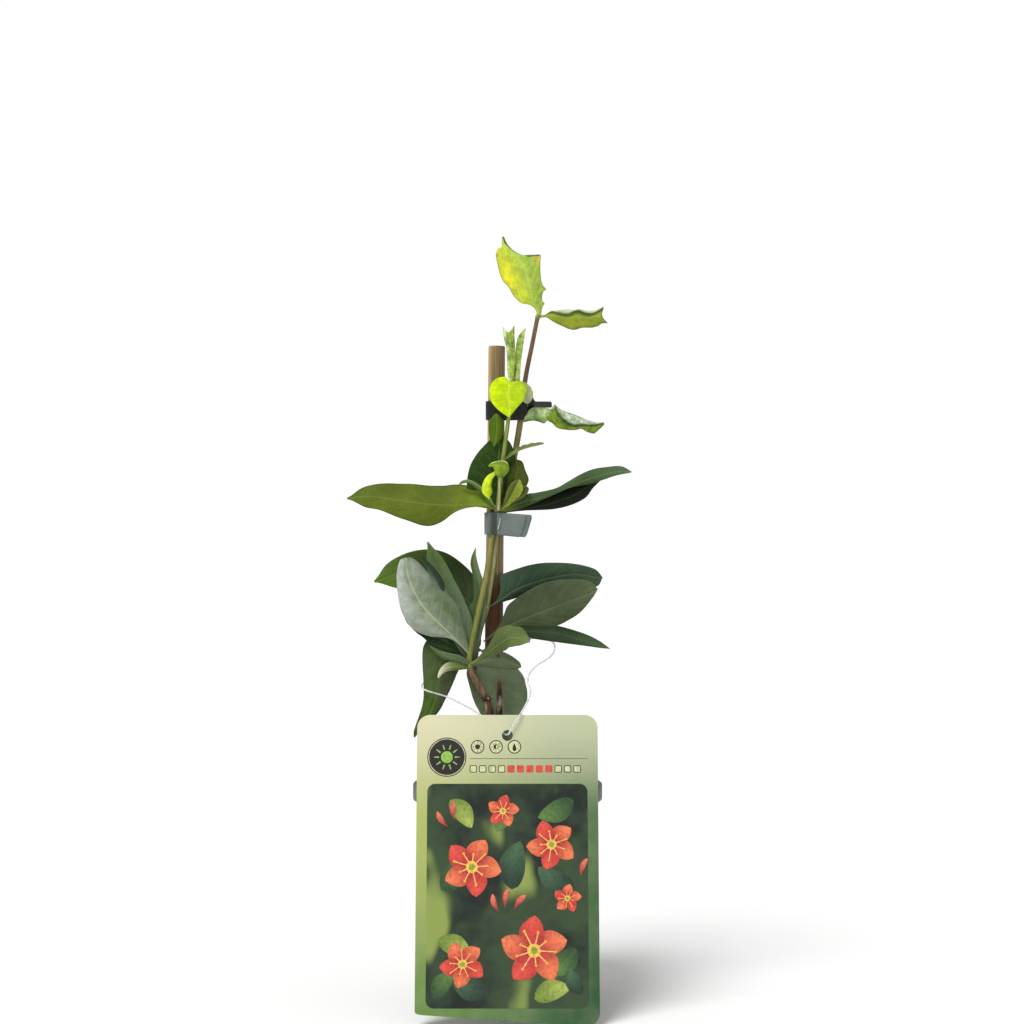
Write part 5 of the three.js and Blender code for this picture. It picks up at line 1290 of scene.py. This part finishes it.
def sheet(shell, name):
    """A leaf as a thin closed sheet through its outline's curves, swollen softly between its veins."""
    look = SHADES[name]
    lines = np.stack([evenly(route, SHEET_ROWS) for route in OUTLINES[name]])
    u, share = np.linspace(0, 1, SHEET_COLUMNS + 1), np.linspace(0, 1, SHEET_ROWS + 1)
    along, across = np.meshgrid(share, u, indexing="ij")
    grid = stations(lines, u).transpose(1, 0, 2)
    up = unit(np.cross(np.gradient(grid, axis=1), np.gradient(grid, axis=0)))
    width = np.linalg.norm(grid[:, -1] - grid[:, 0], axis=1)[:, None]
    out = np.abs(2 * across - 1)
    lift = look.get("quilt", 0.2) * quilted(along, out, width / 2)
    lift -= 0.25 * np.exp(-(out * width / 2 / GROOVE_HALF) ** 2) * np.minimum(1, width / 8)
    grid = grid + up * lift[..., None]
    thick = (LEAF_THICKNESS / 2 * (1 - 0.55 * out ** 6) * np.clip(width / 3, 0.4, 1))[..., None]
    tint = sheet_tints(look, across, along, out)
    under = blended(tint, paint(*UNDERSIDE), np.full(out.shape, 0.45))
    clear = np.full(out.shape + (1,), look["veins"])
    slab(shell, grid + up * thick, grid - up * thick, np.concatenate([tint, clear], axis=2),
         np.concatenate([under, clear], axis=2), np.stack([along, out, out * width / 2], axis=2))


# ---------------------------------------------------------------- the vine

STEM_PIECES = (  # stem, steps, slot, solid, colour of its swellings, and their places and radii
    ("front", 150, "leaf_middle", "front_leafy_stem", (140, 150, 74),
     [((-4.7, -6.2, 230.6), (1.9, 1.9, 1.6)), ((2.6, -10.5, 291.6), (1.5, 1.5, 1.3)),
      ((-18, -8, 155.8), (1.8, 1.8, 1.8))]),
    ("rear", 190, "leaf_dark", "rear_leafy_stem", (132, 138, 70),
     [((-9.8, -3.2, 183.8), (1.6, 1.6, 1.5)), ((14.4, 1.5, 321.6), (1.3, 1.3, 1.3))]),
    ("centre", 40, "leaf_young", "centre_shoot", (140, 150, 74), []),
)
LEAF_PIECES = (  # name, leaves with a midrib, leaves with an outline, material, slot
    ("low_leaves", LOW_LEAVES, ["hanging_green", "short_grey", "edge_grey", "small_pale_tip"], "old",
     "leaf_middle"),
    ("broad_grey_leaf", [], ["broad_grey", "broad_grey_curl"], "silvery", "leaf_middle"),
    ("long_pair_leaves", LONG_PAIR,
     ["long_left_curl", "long_right_top", "long_right_low", "oval", "glaucous", "folded"],
     "old", "leaf_middle"),
    ("top_leaves", TOP_LEAVES, ["heart"], "new", "leaf_young"),
    ("unfolding_leaves", [], ["unfolding_left", "unfolding_right"], "mottled", "leaf_young"),
    ("rear_low_leaves", REAR_LOW_LEAVES,
     ["dark_right", "grey_right", "darkest", "narrow_dark", "behind_stub"], "old", "leaf_dark"),
    ("tip_leaves", [], ["tip_left", "tip_left_curl", "tip_right"], "new", "leaf_middle"),
    ("trough_leaf", [], ["trough_left", "trough_right"], "mottled", "leaf_middle"),
    ("shoot_leaves", [], ["hood", "crescent"], "new", "leaf_young"),
)


def vine():
    """The green stems with their swellings, then every group of leaves."""
    materials = {
        "old": leaf_material("leaf_old", (176, 186, 132), 0.13),
        "silvery": leaf_material("leaf_silvery", (222, 230, 212), 0.3, (0.84, 1.14), 260),
        "new": leaf_material("leaf_new", (222, 230, 140), 0.16, (0.82, 1.12), 240),
        "mottled": leaf_material("leaf_mottled", (214, 224, 170), 0.2, (0.62, 1.3), 420),
    }
    shoots = stem_material()
    for key, steps, slot, solid, tint, swellings in STEM_PIECES:
        shell = Shell()
        green_stem(shell, key, steps)
        for place, radii in swellings:
            ball(shell, place, radii, paint(*tint))
        shell.made(key + "_stem", shoots, slot, [solid])
    for name, rows, outlines, material, slot in LEAF_PIECES:
        shell = Shell()
        for n, leaf in enumerate(rows):
            leaf_blade(shell, leaf, 0.9 * n)
        for outline in outlines:
            sheet(shell, outline)
        shell.made(name, materials[material], slot)


vine()

# ---------------------------------------------------------------- tapes and staples

GAP = 0.35
TAPE_THICKNESS = 0.5
TAPE_WORN = 0.12  # how far its edges are rounded
# Painted light and shade: ring_shade paints the ring lighter or darker than the flag, pinch_shade paints it
# darker near the pinch, where the fold lies in shade, and UPPER_TAPE's near-black tint is its vinyl darkened
# as painted shade.
LOWER_TAPE = dict(low=217.9, width=10.6, stems=[("front", 1.5), ("rear", 1.2)], pinch=(-5, -7.95),
                  end=(10.4, -8.6), inner_end=(7.6, -8.4), slant=0.3, lift=-1.2, lift_by=1.0, twist=0,
                  tint=(100, 110, 105), ring_shade=0.8, pinch_shade=0.3, shade_reach=(2, 4.2))
UPPER_TAPE = dict(low=272.6, width=9, stems=[("rear", 1.45)], pinch=(7.4, 3.8), end=(21.2, 4.6),
                  inner_end=(19, 4.4), slant=0, lift=3, lift_by=0.3, twist=68, tint=(17, 21, 15),
                  ring_shade=1.3, pinch_shade=1.0, shade_reach=(2.6, 5))


def stem_at(key, height):
    """Where a stem's route is at a height, seen from above."""
    points = STEMS[key][0]
    above = next(i for i, p in enumerate(points) if p[2] >= height)
    a, b = np.array(points[above - 1]), np.array(points[above])
    return (a + (b - a) * (height - a[2]) / (b[2] - a[2]))[:2]


def hull(points):
    """The outer corners of points in the plane, counter-clockwise."""
    ordered = sorted(map(tuple, points))

    def turns_right(a, b, p):
        return (b[0] - a[0]) * (p[1] - a[1]) - (b[1] - a[1]) * (p[0] - a[0]) <= 1e-9

    def chain(row):
        out = []
        for p in row:
            while len(out) > 1 and turns_right(out[-2], out[-1], p):
                out.pop()
            out.append(p)
        return out[:-1]

    return np.array(chain(ordered) + chain(ordered[::-1]))


def held_round(spec):
    """The inside of a tape's ring, drawn tight round the cane, its stems and the pinch of its two ends."""
    circles = []
    for height in (spec["low"], spec["low"] + spec["width"] / 2, spec["low"] + spec["width"]):
        place, radius = cane_at(height)
        circles.append((place[:2], radius))
        circles += [(stem_at(key, height), radius) for key, radius in spec["stems"]]
    ways = np.array([(math.cos(turn), math.sin(turn)) for turn in turns(90)])
    around = hull(np.vstack([*(centre + (radius + GAP) * ways for centre, radius in circles),
                             [spec["pinch"]]]))
    return spaced(np.vstack([around, around[:1]]), 150)[:-1]


def tape_ring(shell, spec):
    low, width, worn, thick = spec["low"], spec["width"], TAPE_WORN, TAPE_THICKNESS
    inside = held_round(spec)
    ahead = unit(np.roll(inside, -1, axis=0) - np.roll(inside, 1, axis=0))
    outward = np.stack([ahead[:, 1], -ahead[:, 0]], axis=1)
    section = [(0, worn), (worn, 0), (thick - worn, 0), (thick, worn)]
    section += [(thick, width * share) for share in (0.25, 0.5, 0.75)]
    section += [(thick, width - worn), (thick - worn, width), (worn, width), (0, width - worn),
                (0, width / 2)]
    points = []
    for i, (place, normal) in enumerate(zip(inside, outward)):
        for out, up in section:
            sag = 0.12 * math.sin(math.pi * up / width) * math.sin(i * 0.21) * (out > 0.2)
            points.append((*(place + normal * (out + sag)), low + up))
    n, m = len(inside), len(section)
    faces = [(i * m + k, (i + 1) % n * m + k, (i + 1) % n * m + (k + 1) % m, i * m + (k + 1) % m)
             for i in range(n) for k in range(m)]
    # Painted shade: the ring is darkened towards the pinch, and ring_shade paints the rest of it lighter or
    # darker than the flag.
    away = np.linalg.norm(np.repeat(inside, m, axis=0) - spec["pinch"], axis=1)
    pinch, ring = spec["pinch_shade"], spec["ring_shade"]
    shades = pinch + (ring - pinch) * smooth(away, *spec["shade_reach"])
    shell.add(points, faces, np.outer(shades, paint(*spec["tint"])))


def tape_end(shell, spec, until, ply):
    """One ply of the flag, from the pinch to its end. ply is 0 for the outer one and -1 for the inner."""
    width, start = spec["width"], np.array(spec["pinch"])
    along = unit(np.array(spec["end"]) - start)
    back = np.array([-along[1], along[0]]) * TAPE_THICKNESS
    grids = []
    for side in (1.0, 0.04):
        rows = []
        for share in np.linspace(0, 1, 49):
            turn = math.radians(spec["twist"]) * float(smooth(share, 0.22, 0.45))
            middle = spec["low"] + width / 2 + spec["lift"] * min(1, share / spec["lift_by"])
            row = []
            for across in np.linspace(-1, 1, 13):
                corner = 0.5 * smooth(share, 0.94, 1) * abs(across) ** 6
                rise = across * width / 2 * (1 - 0.06 * smooth(share, 0.96, 1))
                wave = 0.24 * math.sin(9 * share + 2 * across) * smooth(share, 0.1, 0.5) * (ply == 0)
                place = start + (np.array(until) - start) * share + back * (ply + side + wave)
                place = place + along * (spec["slant"] * rise * share - corner)
                row.append((place[0], place[1] + rise * math.sin(turn), middle + rise * math.cos(turn)))
            rows.append(row)
        grids.append(np.array(rows))
    tint = paint(*spec["tint"])
    slab(shell, grids[1], grids[0], tint * (1.06 if ply else 1.0), tint)


def tape(name, spec, replaces, material):
    """A tape: its ring and the two plies of its flag."""
    shell = Shell()
    tape_ring(shell, spec)
    tape_end(shell, spec, spec["end"], 0)
    tape_end(shell, spec, spec["inner_end"], -1)
    shell.made(name, material, "tape_vinyl", replaces)


STAPLE = {"crown": 5.5, "wire": 0.5, "legs": 2.7, "bend": 2.2, "half_wire": 0.26}


def staple(name, place, tilt, replaces, material):
    """A flattened wire staple: its crown in front, its legs through the tape and bent over behind."""
    back = STAPLE["legs"] - STAPLE["wire"]
    reach = (STAPLE["crown"] - STAPLE["wire"]) / 2
    half = [(back, reach - STAPLE["bend"] + 0.3), (back, reach - 0.5), (back - 0.4, reach), (1.2, reach),
            (0.25, reach), (0, reach - 0.3)]
    lean = math.radians(tilt)
    route = [place + np.array((rise * math.sin(lean), depth, rise * math.cos(lean)))
             for depth, rise in half + [(0, 0)] + [(depth, -rise) for depth, rise in reversed(half)]]
    shell = Shell()
    tube(shell, evenly(route, 90), STAPLE["half_wire"], (0.7, 0.7, 0.72), 12,
         lambda i, turn: 1 / max(abs(math.cos(turn)), abs(math.sin(turn))) ** 0.6)
    shell.made(name, material, "staple_wire", replaces)


vinyl = tape_material()
wire = steel_material()
tape("lower_tape_vinyl", LOWER_TAPE, ["lower_tape"], vinyl)
tape("upper_tape_vinyl", UPPER_TAPE, ["upper_tape"], vinyl)
staple("lower_staple_wire", (-3.9, -9.1, 223.2), 14, ["lower_staple"], wire)
staple("upper_staple_wire", (9.4, 2.8, 278.4), 0, ["upper_staple"], wire)

# ---------------------------------------------------------------- hanging label

LABEL = {"width": 82.5, "length": 138.7, "thickness": 0.6, "corner": 6, "hole": 2.5, "hole_from_top": 9.4}
LEAN = math.radians(12)
LABEL_FOOT = -POT["rim"] - GAP / math.cos(LEAN) - POT["height"] * math.tan(LEAN)
HOLE_CENTRE = (0, LABEL["length"] - LABEL["hole_from_top"])
INK = 0.03  # thickness of a printed shape


def on_label(points, height=0.0):
    """Places on the label, x across and y up from its lower edge, at a height over its front face."""
    points = np.asarray(points, float)
    out = LABEL["thickness"] + np.asarray(height, float)
    x, y = points[..., 0], points[..., 1]
    return np.stack([x + 0 * out, LABEL_FOOT + y * math.sin(LEAN) - out * math.cos(LEAN),
                     y * math.cos(LEAN) + out * math.sin(LEAN)], axis=-1)


def rounded(left, right, low, high, corner, steps=10):
    """The outline of a box with round corners, counter-clockwise."""
    corners = [(right - corner, low + corner, -90), (right - corner, high - corner, 0),
               (left + corner, high - corner, 90), (left + corner, low + corner, 180)]
    return [(cx + corner * math.cos(math.radians(start + 90 * k / steps)),
             cy + corner * math.sin(math.radians(start + 90 * k / steps)))
            for cx, cy, start in corners for k in range(steps + 1)]


def flat_ink(shell, outline, height, tint, thickness=INK):
    """A flat printed shape as a very thin closed plate."""
    n = len(outline)
    top, under = on_label(outline, height), on_label(outline, height - thickness)
    faces = [tuple(range(n)), tuple(reversed(range(n, 2 * n)))]
    faces += [(n + i, n + (i + 1) % n, (i + 1) % n, i) for i in range(n)]
    shell.add(np.vstack([top, under]), faces, tint)


def disc(shell, x, y, radius, sides, height, tint):
    outline = [(x + radius * math.cos(turn), y + radius * math.sin(turn)) for turn in turns(sides)]
    flat_ink(shell, outline, height, tint)


def rays(shell, x, y, count, corners, height, tint):
    """Tapered rays round a point. corners holds a ray's radii and angles."""
    for turn in turns(count):
        ray = [(x + r * math.cos(turn + d), y + r * math.sin(turn + d)) for r, d in corners]
        flat_ink(shell, ray, height, tint)


def card():
    """The card: a thin slab with round corners, the lower left one worn rounder, and a punched hole."""
    half, length, thick = LABEL["width"] / 2, LABEL["length"], LABEL["thickness"]
    outline = np.array(rounded(-half, half, 0, length, LABEL["corner"], 12))
    worn = np.clip((10 - outline[:, 1]) / 10, 0, 1) * smooth(-outline[:, 0], -half, half)
    outline[:, 1] += 5 * worn ** 2 * smooth(-outline[:, 0], -20, half)
    edge = 0.1
    inset = outline - unit(outline - np.array([0, length / 2])) * edge
    rings = [on_label(inset, -thick), on_label(outline, edge - thick), on_label(outline, -edge),
             on_label(inset, 0)]
    shell = Shell()
    shell.add(np.vstack(rings), ring_faces(3, len(outline)), paint(190, 204, 130))
    made = shell.made("label_card_print", card_material(), "label_card", ["hanging_label"], flat=True)
    punch = Shell()
    tube(punch, [on_label(HOLE_CENTRE, height) for height in (-5, -2, 2, 5)], LABEL["hole"], (0, 0, 0), 40)
    cut_out(made, punch)


def petal(shell, centre, angle, length, width, height, base, tip, rows=12, columns=6, blunt=0.5):
    """One printed petal or leaf, painted from its base to its tip with a lighter middle line."""
    share = np.linspace(0, 1, rows + 1)
    v = np.linspace(-1, 1, columns + 1)
    half = np.maximum(0.5 * width * np.sin(math.pi * share ** (0.5 + blunt)) ** 0.7, 0.05)
    bend = 0.08 * length * np.sin(math.pi * share)
    x = (length * share)[:, None] + 0 * v
    y = half[:, None] * v + bend[:, None]
    ca, sa = math.cos(angle), math.sin(angle)
    flat = np.stack([centre[0] + ca * x - sa * y, centre[1] + sa * x + ca * y], axis=2)
    tint = blended(base, tip, smooth(share, 0.1, 0.9))[:, None] * (1.12 - 0.3 * np.abs(v))[None, :, None]
    slab(shell, on_label(flat, height - INK), on_label(flat, height), tint, tint)


def blossom(shell, centre, size, start, height):
    """A generic open five-petalled flower with a pale throat and fine stamens."""
    coral, flame, rose = paint(226, 84, 70), paint(240, 128, 84), paint(196, 52, 58)
    for k, turn in enumerate(turns(5)):
        tip = coral if k % 2 else flame
        petal(shell, centre, start + turn, size, 0.72 * size, height + 0.012 * k, rose, tip)
    disc(shell, *centre, 0.2 * size, 24, height + 0.09, paint(240, 196, 84))
    disc(shell, *centre, 0.1 * size, 20, height + 0.12, paint(150, 166, 60))
    for k, turn in enumerate(turns(9)):
        way = np.array([math.cos(start + 0.35 + turn), math.sin(start + 0.35 + turn)])
        tip = centre + size * (0.42 + 0.1 * (k % 3)) * way
        side = np.array([-way[1], way[0]]) * 0.018 * size
        stamen = [centre - side, tip - side, tip + side, centre + side]
        flat_ink(shell, stamen, height + 0.105, paint(246, 210, 110))
        disc(shell, *tip, 0.045 * size, 14, height + 0.12, paint(250, 176, 60))


PICTURE_LEAVES = (  # x, y, length, angle and colour
    (-30, 60, 20, 0.6, 0), (30, 60, 19, 2.6, 1), (-26, 100, 16, -0.9, 2), (30, 100, 18, 3.6, 0),
    (2, 60, 22, 1.4, 1), (-31, 38, 17, -0.5, 2), (31, 34, 17, 3.9, 0), (-8, 14, 19, 2.7, 1),
    (12, 12, 17, 0.3, 2), (-33, 12, 15, 0.9, 0), (0, 100, 15, -1.9, 0), (33, 14, 13, 2.0, 1))
PICTURE_FLOWERS = (  # x, y, size and angle
    (12, 33, 15.5, 0.3), (-16, 70, 13.5, 1.1), (20, 80, 11.5, 0.7), (-20, 27, 10.5, 2.0), (-2, 95, 7.5, 0.1),
    (27, 56, 6.5, 1.4))
PICTURE_BUDS = (  # x, y and angle
    (-4, 50, 1.9), (-1, 52, 1.4), (3, 51, 0.9), (-27, 88, 2.2), (-24, 91, 1.6), (33, 66, 1.2))


def label_picture():
    """A printed garden scene of generic blossoms, buds and leaves on dark foliage."""
    ground = Shell()
    flat_ink(ground, rounded(-36.4, 36.4, 7.8, 107.3, 3.6), 0.05, paint(44, 60, 44), 0.05)
    ground.made("label_panel_ground", panel_material(), "label_card", flat=True)
    printed = Shell()
    greens = [(paint(52, 84, 48), paint(96, 130, 66)), (paint(40, 62, 48), paint(70, 104, 74)),
              (paint(120, 146, 60), paint(170, 186, 90))]
    for n, (x, y, size, angle, green) in enumerate(PICTURE_LEAVES):
        petal(printed, (x, y), angle, size, 0.55 * size, 0.08 + 0.004 * n, *greens[green], 14, 6, 0.35)
    for n, (x, y, size, turn) in enumerate(PICTURE_FLOWERS):
        blossom(printed, np.array((x, y)), size, turn, 0.14 + 0.005 * n)
    for x, y, angle in PICTURE_BUDS:
        petal(printed, (x, y), angle, 8.5, 2.6, 0.19, paint(170, 60, 60), paint(238, 122, 96), 10, 4, 0.9)
    printed.made("label_picture_print", ink_material(), "label_card", flat=True)


SUN_DISC = (-27.6, 119.4)
RULE = (-17.2, 36.6, 118.6, 118.85)
FIRST_SIGN, SIGN_STEP = (-13.6, 124.1), 8.4
FIRST_MONTH, MONTH_STEP, MONTH_SIDE, MONTH_LOW = -17.2, 4.3, 3.3, 112.4
MARKED_MONTHS = range(4, 9)


def round_sign(signs, sign, x, y, dark, pale):
    """A ringed sign: a sun, a half-shaded sun or a drop."""
    disc(signs, x, y, 3.1, 36, 0.03, dark)
    disc(signs, x, y, 2.65, 36, 0.05, pale)
    if sign == "drop":
        drop = [(x + 1.25 * math.sin(t) * math.sin(t / 2) ** 1.5, y - 0.1 + 1.9 * math.cos(t))
                for t in turns(32)]
        flat_ink(signs, drop[::-1], 0.07, dark)
        return
    disc(signs, x, y, 1.15, 24, 0.07, dark)
    if sign == "half":
        right_half = [(x + 0.85 * math.cos(t), y + 0.85 * math.sin(t))
                      for t in np.linspace(-math.pi / 2, math.pi / 2, 14)]
        flat_ink(signs, right_half, 0.09, pale)
    rays(signs, x, y, 8, ((1.5, -0.09), (2.25, -0.05), (2.25, 0.05), (1.5, 0.09)), 0.07, dark)


def month_square(signs, month, red, dark, pale):
    """One month: a filled square where it is marked, an open one elsewhere."""
    left, low, side = FIRST_MONTH + MONTH_STEP * month, MONTH_LOW, MONTH_SIDE
    marked = month in MARKED_MONTHS
    flat_ink(signs, rounded(left, left + side, low, low + side, 0.6, 4), 0.03, red if marked else dark)
    if not marked:
        inner = rounded(left + 0.35, left + side - 0.35, low + 0.35, low + side - 0.35, 0.4, 4)
        flat_ink(signs, inner, 0.05, pale)


def label_signs():
    """Plain care signs in place of words: a sun disc, three round signs, a rule and a row of month marks."""
    signs = Shell()
    dark, pale, red = paint(44, 38, 42), paint(214, 220, 170), paint(214, 84, 66)
    sun = paint(150, 196, 84)
    for radius, sides, height, tint in ((8.9, 56, 0.03, dark), (8.45, 56, 0.05, pale), (8.1, 56, 0.07, dark),
                                        (2.7, 32, 0.09, sun)):
        disc(signs, *SUN_DISC, radius, sides, height, tint)
    rays(signs, *SUN_DISC, 10, ((3.6, -0.11), (5.9, -0.03), (5.9, 0.03), (3.6, 0.11)), 0.09, sun)
    left, right, low, high = RULE
    flat_ink(signs, [(left, low), (right, low), (right, high), (left, high)], 0.03, paint(96, 104, 72))
    for k, sign in enumerate(("sun", "half", "drop")):
        round_sign(signs, sign, FIRST_SIGN[0] + SIGN_STEP * k, FIRST_SIGN[1], dark, pale)
    for month in range(12):
        month_square(signs, month, red, dark, pale)
    signs.made("label_signs_print", ink_material(), "label_card", flat=True)


card()
label_picture()
label_signs()

# ---------------------------------------------------------------- floor and light

FLOOR_REACH = 400 / MM
SKY_LIGHT, SKY_SEEN = 0.5, 1.02  # how bright the sky shines, and how bright it looks
SUN_STRENGTH, SUN_SPREAD, SUN_WAY = 2.25, 30, (0.45, 0.5, -1)


def studio():
    """A pale floor, an even pale sky and one soft sun from the front left."""
    corners = [(x * FLOOR_REACH, y * FLOOR_REACH, 0) for x, y in ((-1, -1), (1, -1), (1, 1), (-1, 1))]
    mesh = mesh_of("floor", corners, [(0, 1, 2, 3)])
    g = Graph("floor", Specular_IOR_Level=0.1)
    mesh.materials.append(g.finish(g.mix(g.noise(6, 2), (0.96, 0.96, 0.957), (0.975, 0.975, 0.97)), 0.9))
    linked("floor", mesh)
    world = bpy.data.worlds.new("studio")
    world.use_nodes = True
    bpy.context.scene.world = world
    sky = world.node_tree.nodes["Background"]
    sky.inputs["Color"].default_value = (1, 1, 1, 1)
    seen = world.node_tree.nodes.new("ShaderNodeLightPath").outputs["Is Camera Ray"]
    level = world.node_tree.nodes.new("ShaderNodeMapRange")
    level.inputs["To Min"].default_value = SKY_LIGHT
    level.inputs["To Max"].default_value = SKY_SEEN
    world.node_tree.links.new(seen, level.inputs["Value"])
    world.node_tree.links.new(level.outputs["Result"], sky.inputs["Strength"])
    light = bpy.data.lights.new("sun", "SUN")
    light.energy = SUN_STRENGTH
    light.angle = math.radians(SUN_SPREAD)
    linked("sun", light).rotation_euler = Vector(SUN_WAY).to_track_quat("-Z", "Y").to_euler()
    bpy.context.scene.view_settings.view_transform = "Standard"


studio()
